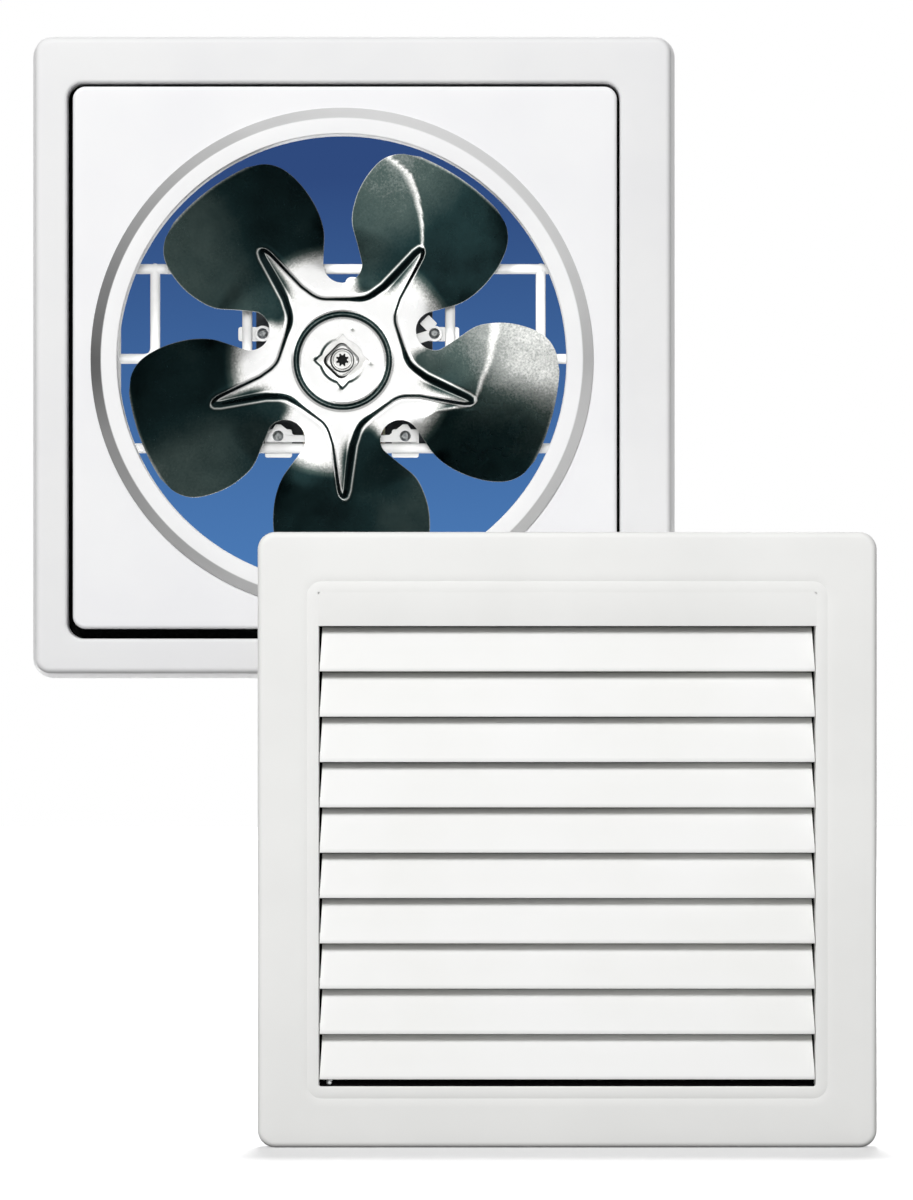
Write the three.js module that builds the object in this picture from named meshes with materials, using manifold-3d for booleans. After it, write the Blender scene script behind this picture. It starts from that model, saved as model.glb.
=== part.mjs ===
// Window exhaust fan, seen from the room, with its louvred outlet taken off and stood in front.
// Millimetres, +Z up. The fan's axis is the Y axis, the room is at -Y, and y = 0 is the plane
// in which the outer frame's rear rim meets the window.
import * as THREE from "three";
import { mergeVertices } from "three/addons/utils/BufferGeometryUtils.js";
import Module from "manifold-3d";

const wasm = await Module();
wasm.setup();

const gap = 0.3; // between pieces that touch
const slip = 0.3; // round a pin, shank or shaft in its hole
const overlapJoin = 0.4; // how deep joined forms of one piece reach into each other

// Impeller pressed from sheet: five leaf-shaped blades, a raised five-armed star and a hub groove.
const impeller = {
  blades: 5,
  tipRadius: 103,
  sheet: 1.2,
  pitchDegrees: 20,
  pitchRun: 32,
  camber: 2.2,
  camberHalfAngle: 30,
  planeY: -8,
  boreRadius: 3.4,
  notchCentreRadius: 46.4,
  notchRadius: 9.4,
  starHeight: 1.6,
  starArmRadius: 64.7,
  starArmBaseHalfWidth: 8.3,
  starArmBaseRadius: 31.2,
  starArmTipHalfWidth: 0.8,
  starFlatRadius: 29.8,
  starFlatHalfAngle: 17,
  starStep: 1.4,
  grooveInnerRadius: 21.6,
  grooveOuterRadius: 22.7,
  grooveDepth: 1.2,
  grooveEdge: 0.8,
  armRise: 0.8,
  creaseInner: 6,
  creaseOuter: 15,
  quarterShare: 0.45,
};

// Bell-mouthed ring round the impeller, seated in the front panel.
const throat = {
  tipClearance: 3.2,
  wall: 1.9,
  rearY: -14,
  lipRound: 0.8,
  lipWidth: 6.6,
  bandWidth: 5.2,
  bandEdge: 0.5,
  height: 3.6,
  flangeThickness: 1.8,
  flangeReach: 3,
};

// Front panel, a shallow tray with a round hole for the throat ring.
const panel = {
  marginX: 9.8,
  marginZ: 9.4,
  x: 1.3,
  z: 0.75,
  frontY: -27.2,
  corner: 6,
  edgeRound: 2,
  wall: 2.2,
};

// Outer frame. Its border is wider at the right and at the top than at the left and bottom.
const frame = {
  borderLeft: 14.9,
  borderRight: 23.9,
  borderTop: 21.3,
  borderBottom: 16.1,
  panelGapLeft: 2.6,
  panelGapRight: 1.4,
  panelGapTop: 1.55,
  panelGapBottom: 4.65,
  depth: 28,
  draft: 2.9,
  corner: 7,
  edgeRound: 2.5,
  wall: 2.4,
  openingCorner: 7.5,
  openingRound: 1,
  ledgeY: -6,
  ledgeThickness: 2.4,
  ribThickness: 1.8,
  ribSetback: 1,
  ribsPerSide: 3,
  padSize: 16,
  padThickness: 4,
};

// Sleeve that passes through the window and takes the louvred outlet at its far end.
const sleeve = {
  throatClearance: 11.9,
  corner: 6,
  wall: 2,
  length: 112,
  flangeWidth: 6,
  flangeThickness: 1.8,
};

// Hub fittings and shaft.
const hub = {
  bossFlangeRadius: 17,
  bossFlangeThickness: 1.5,
  bossRadius: 8,
  bossLength: 16,
  washerRadius: 10,
  washerPointRadius: 12.6,
  washerPoints: 4,
  washerPointHalfAngle: 16,
  washerThickness: 1,
  nutSize: 12.8,
  nutCorner: 3.5,
  nutTurn: 45,
  nutThickness: 5,
  screwHeadRadius: 4.4,
  screwSplineDepth: 0.8,
  screwSplines: 10,
  screwHeadHeight: 2.2,
  screwShankRadius: 1.6,
  screwLength: 10,
};
const shaft = { radius: 3, frontY: -14.5, rearY: 71, tapDepth: 10 };

// Shaded-pole motor, hung behind the impeller.
const motor = {
  statorFrontY: 35,
  statorDepth: 20,
  statorHalfWidth: 42.5,
  statorTop: 30,
  statorBottom: -39,
  statorLeg: 11.5,
  statorCorner: 4,
  windowHalfWidth: 20,
  windowTop: -19.4,
  rotorRadius: 16.2,
  airGap: 0.35,
  endRingRadius: 14.5,
  endRingLength: 2,
  coilEdge: 1,
  coilClearance: 0.6,
  bobbinWall: 1.2,
  legCorner: 0.05,
  bracketHalfWidth: 28,
  bracketHalfHeight: 8,
  bracketThickness: 3,
  bracketCorner: 6,
  bossRadius: 10,
  bossProud: 2,
  frontBossLength: 15,
  rearBossLength: 9,
  legRadius: 4.6,
  boltX: 24,
  boltRadius: 1.8,
  boltHeadRadius: 3.6,
  boltHeadHeight: 2.8,
  boltEnd: 2,
  bearingRadius: 6,
  bearingLength: 8,
  bearingProud: 1,
  rearLegLength: 10.5,
};

// Wire cradle behind the impeller.
const wire = {
  radius: 2.4,
  y: 20,
  topZ: 45,
  bottomZ: -41,
  sideInset: 8,
  loopZ: 1.9,
  leftLoopWidth: 18.8,
  rightLoopWidth: 14.8,
  leftPostX: -46.3,
  rightPostX: 51,
  legRearY: 52,
};

// White sheet plate that carries the motor on the cradle: a disc, a web down to a foot with two
// three-cornered ears over the lower wire, a tongue at the top, and two arms beside the posts.
const carrier = {
  thickness: 1.5,
  centreRadius: 29,
  webHalfWidth: 12,
  footClearance: 0.5,
  footHeight: 3.4,
  earPeakZ: -29.6,
  earPeakWidth: 2.4,
  earOuterReach: 5.6,
  earInnerReach: 9.8,
  armHalfWidth: 2.4,
  armEarRadius: 3.8,
  lugHalf: 4.2,
  lugOffsetX: 2.8,
  lugOffsetZ: 4.8,
  tongueX: 4.3,
  tongueHalfWidth: 3.5,
  tongueTopZ: 41,
  screwRadius: 1.5,
  screwHeadRadius: 2.6,
  screwHeadHeight: 1.6,
  screwFlatShare: 0.6,
  screwRearReach: 2.5,
  clampHalf: 3.4,
  clampOverlap: 4.4,
  clampHalfLength: 6.5,
  lowerLeftX: -31.4,
  lowerRightX: 29.5,
  lowerZ: -35.2,
  upperLeftX: -38.8,
  upperRightX: 43.5,
  upperZ: 13.9,
};
const lowerEars = [
  { name: "lower_left", side: -1, x: carrier.lowerLeftX, z: carrier.lowerZ },
  { name: "lower_right", side: 1, x: carrier.lowerRightX, z: carrier.lowerZ },
];
const upperEars = [
  { name: "upper_left", side: -1, x: carrier.upperLeftX, z: carrier.upperZ, postX: wire.leftPostX },
  { name: "upper_right", side: 1, x: carrier.upperRightX, z: carrier.upperZ, postX: wire.rightPostX },
];

// Saddle clips that hold the cradle's legs to the sleeve.
const clip = {
  sheet: 1.4,
  length: 9,
  y: 38,
  footLength: 9,
  screwOffset: 1,
  screwRadius: 1.5,
  screwHeadRadius: 3,
  screwHeadHeight: 1.8,
  screwReach: 2.5,
};

// Terminal block and cable inlet on the sleeve's lower wall.
const terminal = {
  x: 48,
  rearInset: 24.7,
  width: 34,
  depth: 20,
  height: 15,
  stepDepth: 6,
  stepHeight: 6,
  wells: 3,
  wellRadius: 2.6,
  wellDepth: 7.5,
};
const inlet = {
  x: -58,
  rearInset: 20.7,
  boreRadius: 3.6,
  bodyRadius: 7,
  flangeRadius: 10,
  flangeThickness: 3,
  innerLength: 9,
  outerLength: 12,
  nutRadius: 9.5,
  nutThickness: 4,
};

// Louvred outlet unit, stood in front at the lower right.
const louvre = {
  centreX: 104.8,
  centreZ: -223.6,
  frontY: -122.4,
  width: 283.5,
  height: 281.9,
  corner: 8,
  edgeRound: 2.4,
  rimDepth: 10,
  wall: 2.4,
  openingWidth: 227.4,
  openingHeight: 225.9,
  openingCorner: 1.2,
  skirtDepth: 46,
  skirtWall: 2.6,
  stripHeight: 15.1,
  stripThickness: 1.4,
};

// Gravity slats. They overlap like shingles and lift together on a tie bar.
const slat = {
  count: 10,
  bottomGap: 3.3,
  overlap: 3,
  hingeSetback: 9.5,
  sheet: 1.5,
  barrelRadius: 1.9,
  lipDepth: 2.6,
  lipHeight: 1.6,
  pinRadius: 1.5,
  pinReach: 2.4,
  endTaper: 1.5,
  crankInset: 12.7,
  crankThickness: 2,
  crankReach: 10,
  crankHalfHeight: 2.6,
  crankPinRadius: 1.4,
  crankPinLength: 3.8,
};
const tieBar = { depth: 7, thickness: 3, endMargin: 6 };
const restPeg = { radius: 1.4, height: 2.5, inset: 4.7, setback: 5.4 };

const pinSides = 6;
const smallSides = 8;
const midSides = 12;
const roundSides = 18;
const throatSides = 36;
const through = 1; // how far a cutter runs past what it cuts

const material = (color, roughness, metalness = 0) =>
  new THREE.MeshStandardMaterial({ color, roughness, metalness, flatShading: true });
const finish = {
  casing: material("#ececec", 0.35),
  panel: material("#f5f5f6", 0.3),
  whiteSteel: material("#efefef", 0.4, 0.1),
  pressed: material("#4a5350", 0.25, 1),
  bright: material("#c9cbc8", 0.25, 1),
  zinc: material("#9ea1a0", 0.45, 1),
  lamination: material("#4b4d50", 0.5, 0.9),
  copper: material("#8e4a24", 0.4, 0.8),
  bobbin: material("#e2d9c2", 0.5),
  blackPlastic: material("#26282a", 0.5),
  slats: material("#f4f4f2", 0.4),
};

const degrees = (value) => (value * Math.PI) / 180;
const mix = (a, b, t) => a + (b - a) * t;

// A closed geometry as a solid. A profile drawn the other way round is turned to face outwards.
function solid(geometry) {
  const bare = new THREE.BufferGeometry();
  const source = geometry.index ? geometry.toNonIndexed() : geometry;
  bare.setAttribute("position", source.getAttribute("position"));
  const merged = mergeVertices(bare, 1e-4);
  const faces = new Uint32Array(merged.index.array);
  const build = () =>
    new wasm.Manifold(
      new wasm.Mesh({
        numProp: 3,
        vertProperties: merged.attributes.position.array,
        triVerts: faces,
      }),
    );
  const made = build();
  if (made.volume() > 0) return made;
  for (let i = 0; i < faces.length; i += 3) {
    [faces[i + 1], faces[i + 2]] = [faces[i + 2], faces[i + 1]];
  }
  return build();
}

function joined(solids) {
  return solids.reduce((sum, next) => sum.add(next));
}

function cut(body, tools) {
  return tools.reduce((rest, tool) => rest.subtract(tool), body);
}

function piece(name, body, look, parent) {
  const { vertProperties, triVerts } = body.getMesh();
  const geometry = new THREE.BufferGeometry();
  geometry.setAttribute("position", new THREE.BufferAttribute(vertProperties, 3));
  geometry.setIndex(new THREE.BufferAttribute(triVerts, 1));
  geometry.computeVertexNormals();
  const mesh = new THREE.Mesh(geometry, look);
  mesh.name = name;
  parent.add(mesh);
  return mesh;
}

function box(x0, x1, y0, y1, z0, z1) {
  const geometry = new THREE.BoxGeometry(x1 - x0, y1 - y0, z1 - z0);
  geometry.translate((x0 + x1) / 2, (y0 + y1) / 2, (z0 + z1) / 2);
  return solid(geometry);
}

// A round bar from one point to another.
function rod(radius, from, to, sides = smallSides) {
  const start = new THREE.Vector3(...from);
  const end = new THREE.Vector3(...to);
  const along = end.clone().sub(start);
  const geometry = new THREE.CylinderGeometry(radius, radius, along.length(), sides);
  const turn = new THREE.Quaternion().setFromUnitVectors(
    new THREE.Vector3(0, 1, 0),
    along.clone().normalize(),
  );
  geometry.applyQuaternion(turn);
  geometry.translate(...start.add(end).multiplyScalar(0.5));
  return solid(geometry);
}

// A profile of [radius, y] points revolved about the Y axis.
function revolved(profile, sides = roundSides) {
  const points = profile.map(([r, y]) => new THREE.Vector2(r, y));
  return solid(new THREE.LatheGeometry(points, sides));
}

function tubeProfile(inner, outer, y0, y1) {
  return [
    [inner, y0],
    [outer, y0],
    [outer, y1],
    [inner, y1],
    [inner, y0],
  ];
}

// An outline in X and Z, extruded from the depth rearY towards the room.
function sheetXZ(outline, rearY, thickness, curveSegments = 2) {
  const geometry = new THREE.ExtrudeGeometry(outline, {
    depth: thickness,
    bevelEnabled: false,
    curveSegments,
  });
  geometry.rotateX(Math.PI / 2);
  geometry.translate(0, rearY, 0);
  return solid(geometry);
}

// An outline in Y and Z, extruded along X, as a geometry and as a solid.
function barGeometryX(outline, x0, x1) {
  const geometry = new THREE.ExtrudeGeometry(outline, {
    depth: x1 - x0,
    bevelEnabled: false,
    curveSegments: 3,
  });
  const across = new THREE.Matrix4().makeBasis(
    new THREE.Vector3(0, 1, 0),
    new THREE.Vector3(0, 0, 1),
    new THREE.Vector3(1, 0, 0),
  );
  geometry.applyMatrix4(across);
  geometry.translate(x0, 0, 0);
  return geometry;
}

function barX(outline, x0, x1) {
  return solid(barGeometryX(outline, x0, x1));
}

const onCircle = (radius, angle) => [radius * Math.cos(angle), radius * Math.sin(angle)];

function polygon(points) {
  return new THREE.Shape(points.map(([x, y]) => new THREE.Vector2(x, y)));
}

function roundedRectangle(width, height, radius, x = 0, y = 0) {
  const outline = new THREE.Shape();
  const [a, b] = [width / 2 - radius, height / 2 - radius];
  outline.absarc(x + a, y + b, radius, 0, Math.PI / 2);
  outline.absarc(x - a, y + b, radius, Math.PI / 2, Math.PI);
  outline.absarc(x - a, y - b, radius, Math.PI, Math.PI * 1.5);
  outline.absarc(x + a, y - b, radius, Math.PI * 1.5, Math.PI * 2);
  outline.closePath();
  return outline;
}

// Points round a rounded rectangle at the depth y, counterclockwise seen from the room.
function rectangleLoop({ width, height, radius, x = 0, z = 0, y, steps = 3 }) {
  const signs = [
    [1, 1],
    [-1, 1],
    [-1, -1],
    [1, -1],
  ];
  const loop = [];
  signs.forEach(([sx, sz], quarter) => {
    for (let i = 0; i <= steps; i++) {
      const angle = (quarter + i / steps) * (Math.PI / 2);
      loop.push([
        x + sx * (width / 2 - radius) + radius * Math.cos(angle),
        y,
        z + sz * (height / 2 - radius) + radius * Math.sin(angle),
      ]);
    }
  });
  return loop;
}

// A surface through loops of equal length that closes on itself, like a picture frame's moulding.
function moulding(loops) {
  const positions = [];
  const size = loops[0].length;
  loops.forEach((loop, i) => {
    const next = loops[(i + 1) % loops.length];
    for (let j = 0; j < size; j++) {
      const k = (j + 1) % size;
      positions.push(...loop[j], ...loop[k], ...next[k]);
      positions.push(...loop[j], ...next[k], ...next[j]);
    }
  });
  const geometry = new THREE.BufferGeometry();
  geometry.setAttribute("position", new THREE.Float32BufferAttribute(positions, 3));
  return geometry;
}

// The loops of a rounded outer edge: from the side wall to the front face.
function edgeLoops(size, round, frontY, steps = 3) {
  const loops = [];
  for (let i = 0; i <= steps; i++) {
    const angle = (i / steps) * (Math.PI / 2);
    const inset = round * (1 - Math.cos(angle));
    loops.push(
      rectangleLoop({
        ...size,
        width: size.width - 2 * inset,
        height: size.height - 2 * inset,
        radius: size.radius - inset,
        y: frontY + round * (1 - Math.sin(angle)),
      }),
    );
  }
  return loops;
}

function grown(size, by) {
  return {
    ...size,
    width: size.width + 2 * by,
    height: size.height + 2 * by,
    radius: size.radius + by,
  };
}

// A rectangle widened by its own margin on each side.
function bordered(size, { left, right, top, bottom, radius }) {
  return {
    width: size.width + left + right,
    height: size.height + top + bottom,
    radius,
    x: size.x + (right - left) / 2,
    z: size.z + (top - bottom) / 2,
  };
}

// From the impeller outwards: throat ring, panel, frame opening, frame, and the sleeve behind.
const throatRadius = impeller.tipRadius + throat.tipClearance;
const lipRadius = throatRadius + throat.lipRound;
const ringInnerRadius = lipRadius + throat.lipWidth;
const ringOuterRadius = ringInnerRadius + throat.bandWidth;
const panelOuter = {
  width: 2 * (ringOuterRadius + panel.marginX),
  height: 2 * (ringOuterRadius + panel.marginZ),
  radius: panel.corner,
  x: panel.x,
  z: panel.z,
};
const frameOpening = bordered(panelOuter, {
  left: frame.panelGapLeft,
  right: frame.panelGapRight,
  top: frame.panelGapTop,
  bottom: frame.panelGapBottom,
  radius: frame.openingCorner,
});
const frameOuter = bordered(frameOpening, {
  left: frame.borderLeft,
  right: frame.borderRight,
  top: frame.borderTop,
  bottom: frame.borderBottom,
  radius: frame.corner,
});
const sleeveHalf = throatRadius + throat.wall + sleeve.throatClearance;
const sleeveInner = {
  width: 2 * sleeveHalf,
  height: 2 * sleeveHalf,
  radius: sleeve.corner - sleeve.wall,
};
const sleeveOuter = grown(sleeveInner, sleeve.wall);
const sleeveOutside = sleeveHalf + sleeve.wall;
const frameFrontY = -frame.depth;
const ledgeRearY = frame.ledgeY + frame.ledgeThickness;

function outerFrame() {
  const shell = solid(
    moulding([
      rectangleLoop({ ...grown(frameOuter, frame.draft), y: 0 }),
      ...edgeLoops(frameOuter, frame.edgeRound, frameFrontY),
      rectangleLoop({ ...grown(frameOpening, frame.openingRound), y: frameFrontY }),
      rectangleLoop({ ...frameOpening, y: frameFrontY + frame.openingRound }),
      rectangleLoop({ ...frameOpening, y: frame.ledgeY }),
      rectangleLoop({ ...sleeveInner, y: frame.ledgeY }),
      rectangleLoop({ ...sleeveInner, y: ledgeRearY }),
      rectangleLoop({ ...grown(frameOpening, frame.wall), y: ledgeRearY }),
      rectangleLoop({ ...grown(frameOpening, frame.wall), y: frameFrontY + frame.wall }),
      rectangleLoop({ ...grown(frameOuter, -frame.wall), y: frameFrontY + frame.wall }),
      rectangleLoop({ ...grown(frameOuter, frame.draft - frame.wall), y: 0 }),
    ]),
  );
  return joined([shell, ...frameRibs(), ...framePads()]);
}

// The four edges of a rectangle, grown by a margin.
function edgesOf(size, by) {
  return {
    left: size.x - size.width / 2 - by,
    right: size.x + size.width / 2 + by,
    low: size.z - size.height / 2 - by,
    high: size.z + size.height / 2 + by,
  };
}

// Stiffening ribs across the hollow border, all round.
function frameRibs() {
  const ribs = [];
  const y0 = frameFrontY + frame.wall - overlapJoin;
  const y1 = -frame.ribSetback;
  const half = frame.ribThickness / 2;
  const inner = edgesOf(frameOpening, frame.wall - overlapJoin);
  const outer = edgesOf(frameOuter, overlapJoin - frame.wall);
  for (let i = 1; i <= frame.ribsPerSide; i++) {
    const share = i / (frame.ribsPerSide + 1) - 0.5;
    const x = frameOuter.x + share * frameOuter.width;
    const z = frameOuter.z + share * frameOuter.height;
    ribs.push(box(outer.left, inner.left, y0, y1, z - half, z + half));
    ribs.push(box(inner.right, outer.right, y0, y1, z - half, z + half));
    ribs.push(box(x - half, x + half, y0, y1, outer.low, inner.low));
    ribs.push(box(x - half, x + half, y0, y1, inner.high, outer.high));
  }
  return ribs;
}

// Flat pads in the rear corners, flush with the rim, that lie on the window.
function framePads() {
  const reach = edgesOf(frameOuter, -frame.wall / 2);
  const corners = solid(
    moulding([
      rectangleLoop({ ...grown(frameOuter, frame.draft - frame.wall / 2), y: 0 }),
      rectangleLoop({ ...grown(frameOuter, -frame.wall / 2), y: frameFrontY + frame.wall }),
      rectangleLoop({ ...frameOpening, y: frameFrontY + frame.wall }),
      rectangleLoop({ ...frameOpening, y: 0 }),
    ]),
  );
  const spansX = [
    [reach.left, reach.left + frame.padSize],
    [reach.right - frame.padSize, reach.right],
  ];
  const spansZ = [
    [reach.low, reach.low + frame.padSize],
    [reach.high - frame.padSize, reach.high],
  ];
  const pads = spansX.flatMap((x) => spansZ.map((z) => box(...x, -frame.padThickness, 0, ...z)));
  return pads.map((pad) => pad.intersect(corners));
}

const sleeveFrontY = ledgeRearY + gap;
const sleeveRearY = sleeveFrontY + sleeve.length;
const inletY = sleeveRearY - inlet.rearInset;

function wallSleeve() {
  const flange = grown(sleeveOuter, sleeve.flangeWidth);
  const shell = solid(
    moulding([
      rectangleLoop({ ...sleeveOuter, y: sleeveRearY }),
      rectangleLoop({ ...sleeveOuter, y: sleeveFrontY + sleeve.flangeThickness }),
      rectangleLoop({ ...flange, y: sleeveFrontY + sleeve.flangeThickness }),
      rectangleLoop({ ...flange, y: sleeveFrontY }),
      rectangleLoop({ ...sleeveInner, y: sleeveFrontY }),
      rectangleLoop({ ...sleeveInner, y: sleeveRearY }),
    ]),
  );
  const [inside, outside] = [sleeveHalf - through, sleeveOutside + through];
  const holes = clipPlaces().map(({ side, screwZ }) =>
    rod(clip.screwRadius + slip, [side * inside, clip.y, screwZ], [side * outside, clip.y, screwZ]),
  );
  const inletFrom = [inlet.x, inletY, -inside];
  const inletTo = [inlet.x, inletY, -outside];
  holes.push(rod(inlet.bodyRadius + slip, inletFrom, inletTo, roundSides));
  return cut(shell, holes);
}

const panelHoleRadius = ringInnerRadius;
const panelInsideY = panel.frontY + panel.wall;

function orificePanel() {
  const rearY = frame.ledgeY - gap;
  const hole = { width: 2 * panelHoleRadius, height: 2 * panelHoleRadius, x: 0, z: 0 };
  const edge = { ...hole, radius: panelHoleRadius, steps: throatSides / 4 };
  const outline = { ...panelOuter, steps: throatSides / 4 };
  const inside = grown(outline, -panel.wall);
  return solid(
    moulding([
      rectangleLoop({ ...outline, y: rearY }),
      ...edgeLoops(outline, panel.edgeRound, panel.frontY),
      rectangleLoop({ ...edge, y: panel.frontY }),
      rectangleLoop({ ...edge, y: panelInsideY }),
      rectangleLoop({ ...inside, y: panelInsideY }),
      rectangleLoop({ ...inside, y: rearY }),
    ]),
  );
}

// Sloped band, flat lip and bore, with a flange on the panel's inner face.
function throatRing() {
  const crestY = panel.frontY - throat.height;
  const skinY = panel.frontY - gap;
  const boreOuter = throatRadius + throat.wall;
  const neck = panelHoleRadius - gap;
  const flangeFrontY = panelInsideY + gap;
  const flangeRearY = flangeFrontY + throat.flangeThickness;
  return revolved(
    [
      [ringOuterRadius, skinY],
      [ringOuterRadius, skinY - throat.bandEdge],
      [ringInnerRadius, crestY],
      [lipRadius, crestY],
      [throatRadius, crestY + throat.lipRound],
      [throatRadius, throat.rearY],
      [boreOuter, throat.rearY],
      [boreOuter, flangeRearY],
      [panelHoleRadius + throat.flangeReach, flangeRearY],
      [panelHoleRadius + throat.flangeReach, flangeFrontY],
      [neck, flangeFrontY],
      [neck, skinY],
      [ringOuterRadius, skinY],
    ],
    throatSides,
  );
}

// Half angle of a blade's edge at a radius, in degrees: the round notch first, then the leaf.
function bladeEdge(radius, leaf) {
  const { notchCentreRadius: c, notchRadius: n, blades } = impeller;
  const sector = 180 / blades;
  if (radius <= c - n) return sector;
  const cosine = (radius * radius + c * c - n * n) / (2 * radius * c);
  if (radius <= c) return sector - (Math.acos(Math.min(1, cosine)) * 180) / Math.PI;
  const points = leaf.getPoints(80);
  const index = Math.max(1, points.findIndex((p) => p.x >= radius - 1e-6));
  const [a, b] = [points[index - 1], points[index]];
  return mix(a.y, b.y, Math.min(1, (radius - a.x) / (b.x - a.x)));
}

// The two edges of the leaf as [radius, degrees from the blade's middle line].
const notchHalfAngle =
  180 / impeller.blades -
  (2 * Math.asin(impeller.notchRadius / (2 * impeller.notchCentreRadius)) * 180) / Math.PI;
function leafCurve(points) {
  const start = new THREE.Vector2(impeller.notchCentreRadius, notchHalfAngle);
  const rest = points.map(([share, angle]) => new THREE.Vector2(impeller.tipRadius * share, angle));
  return new THREE.SplineCurve([start, ...rest]);
}
const leadingLeaf = leafCurve([
  [0.53, 28.3],
  [0.63, 31.9],
  [0.73, 31.4],
  [0.83, 29],
  [0.93, 25],
  [0.98, 20.5],
  [1, 15],
]);
const trailingLeaf = leafCurve([
  [0.53, 26.4],
  [0.61, 27.6],
  [0.71, 26.4],
  [0.83, 23],
  [0.93, 18.8],
  [0.98, 14.6],
  [1, 9.5],
]);

const asin = (ratio) => (Math.asin(Math.min(0.9, ratio)) * 180) / Math.PI;

// Half angles of the raised arm's foot: the top's edge and the step's lower edge.
function armEdges(radius, kind) {
  const s = impeller;
  if (kind !== "blade") {
    const base = s.starArmBaseRadius;
    const half = s.starArmBaseHalfWidth;
    return [asin((half - s.starStep / 2) / base), asin((half + s.starStep) / base)];
  }
  if (radius < s.starArmRadius) {
    const toTip = (s.starArmRadius - radius) / (s.starArmRadius - s.starArmBaseRadius);
    const half = s.starArmBaseHalfWidth * Math.min(1, toTip);
    const inner = Math.max(s.starArmTipHalfWidth, half - s.starStep / 2);
    return [asin(inner / radius), asin((half + s.starStep) / radius)];
  }
  const past = (radius - s.starArmRadius) / (s.tipRadius - s.starArmRadius);
  return [
    asin(mix(s.starArmTipHalfWidth, s.creaseInner, past) / radius),
    asin(mix(s.starStep, s.creaseOuter, past) / radius),
  ];
}

// One row across a blade, as nine angles from its middle line.
function bladeRow(radius, kind) {
  const [armInner, armOuter] = armEdges(radius, kind);
  const lead = bladeEdge(radius, leadingLeaf);
  const trail = bladeEdge(radius, trailingLeaf);
  const between = (edge) => mix(edge, armOuter, impeller.quarterShare);
  return [
    -trail,
    -between(trail),
    -armOuter,
    -armInner,
    0,
    armInner,
    armOuter,
    between(lead),
    lead,
  ];
}

function smooth(from, to, value) {
  const t = Math.max(0, Math.min(1, (value - from) / (to - from)));
  return t * t * (3 - 2 * t);
}

// Rows of the pressing from the bore to the tip. Each gives its radius, its kind and its raise.
function impellerRows() {
  const s = impeller;
  const grooveTop = s.starHeight;
  const grooveFloor = s.starHeight - s.grooveDepth;
  const root = s.notchCentreRadius - s.notchRadius;
  const circles = [
    [s.boreRadius, grooveTop],
    [s.grooveInnerRadius - s.grooveEdge, grooveTop],
    [s.grooveInnerRadius, grooveFloor],
    [s.grooveOuterRadius, grooveFloor],
    [s.grooveOuterRadius + s.grooveEdge, grooveTop],
  ].map(([radius, raise]) => ({ radius, kind: "circle", raise }));
  const star = [
    { radius: s.starFlatRadius - s.starStep, kind: "flats", raise: s.starHeight },
    { radius: s.starFlatRadius + s.starStep, kind: "flats", raise: 0 },
  ];
  const notch = [0, 0.1, 0.42, 1].map((share) => mix(root, s.notchCentreRadius, share));
  const shares = [0.52, 0.58, s.starArmRadius / s.tipRadius, 0.7, 0.8, 0.9, 0.97, 1];
  const leaf = shares.map((share) => share * s.tipRadius);
  const blades = [...notch, ...leaf].map((radius) => ({ radius, kind: "blade", raise: 0 }));
  return [...circles, ...star, ...blades];
}

// A point of the pressing's front surface, as x, y, z.
function impellerPoint(row, column, angleFromMiddle, middleDegrees) {
  const s = impeller;
  const sector = 180 / s.blades;
  let { radius, raise } = row;
  const onArm = Math.abs(column - 4) <= 1;
  if (row.kind === "flats") {
    const armBase = sector - Math.abs(column === 4 ? 0 : angleFromMiddle);
    const bend = Math.min(armBase, sector - s.starFlatHalfAngle);
    radius = row.radius / Math.cos(degrees(bend));
    if (onArm) raise = s.starHeight;
  }
  if (row.kind === "blade" && onArm && radius < s.starArmRadius - s.armRise) raise = s.starHeight;
  const root = s.notchCentreRadius - s.notchRadius;
  const blend = smooth(root, root + s.pitchRun, radius);
  const across = radius * Math.sin(degrees(angleFromMiddle));
  const halfWidth = radius * Math.sin(degrees(s.camberHalfAngle));
  const twist = Math.tan(degrees(s.pitchDegrees)) * across;
  const bow = s.camber * (1 - (across / halfWidth) ** 2);
  const forward = raise + blend * (twist + bow);
  const angle = degrees(middleDegrees + angleFromMiddle);
  return [radius * Math.cos(angle), s.planeY - forward, radius * Math.sin(angle)];
}

function impellerPressing() {
  const rows = impellerRows();
  const positions = [];
  const quad = (a, b, c, d) => positions.push(...a, ...b, ...c, ...a, ...c, ...d);
  const behind = ([x, y, z]) => [x, y + impeller.sheet, z];
  const last = rows.length - 1;
  const rootRow = rows.findIndex((row) => row.kind === "blade");
  for (let blade = 0; blade < impeller.blades; blade++) {
    const middle = -90 + (blade * 360) / impeller.blades;
    const grid = rows.map((row) =>
      bladeRow(row.radius, row.kind).map((angle, column) => impellerPoint(row, column, angle, middle)),
    );
    const columns = grid[0].length - 1;
    for (let i = 0; i < last; i++) {
      for (let j = 0; j < columns; j++) {
        const [a, b, c, d] = [grid[i][j], grid[i + 1][j], grid[i + 1][j + 1], grid[i][j + 1]];
        quad(a, b, c, d);
        quad(behind(d), behind(c), behind(b), behind(a));
      }
      if (i < rootRow) continue;
      const [p, q, u, v] = [grid[i][0], grid[i + 1][0], grid[i][columns], grid[i + 1][columns]];
      quad(q, p, behind(p), behind(q));
      quad(u, v, behind(v), behind(u));
    }
    for (let j = 0; j < columns; j++) {
      const [tip, tipNext] = [grid[last][j], grid[last][j + 1]];
      const [bore, boreNext] = [grid[0][j], grid[0][j + 1]];
      quad(tipNext, tip, behind(tip), behind(tipNext));
      quad(bore, boreNext, behind(boreNext), behind(bore));
    }
  }
  const geometry = new THREE.BufferGeometry();
  geometry.setAttribute("position", new THREE.Float32BufferAttribute(positions, 3));
  return solid(geometry);
}

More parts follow.
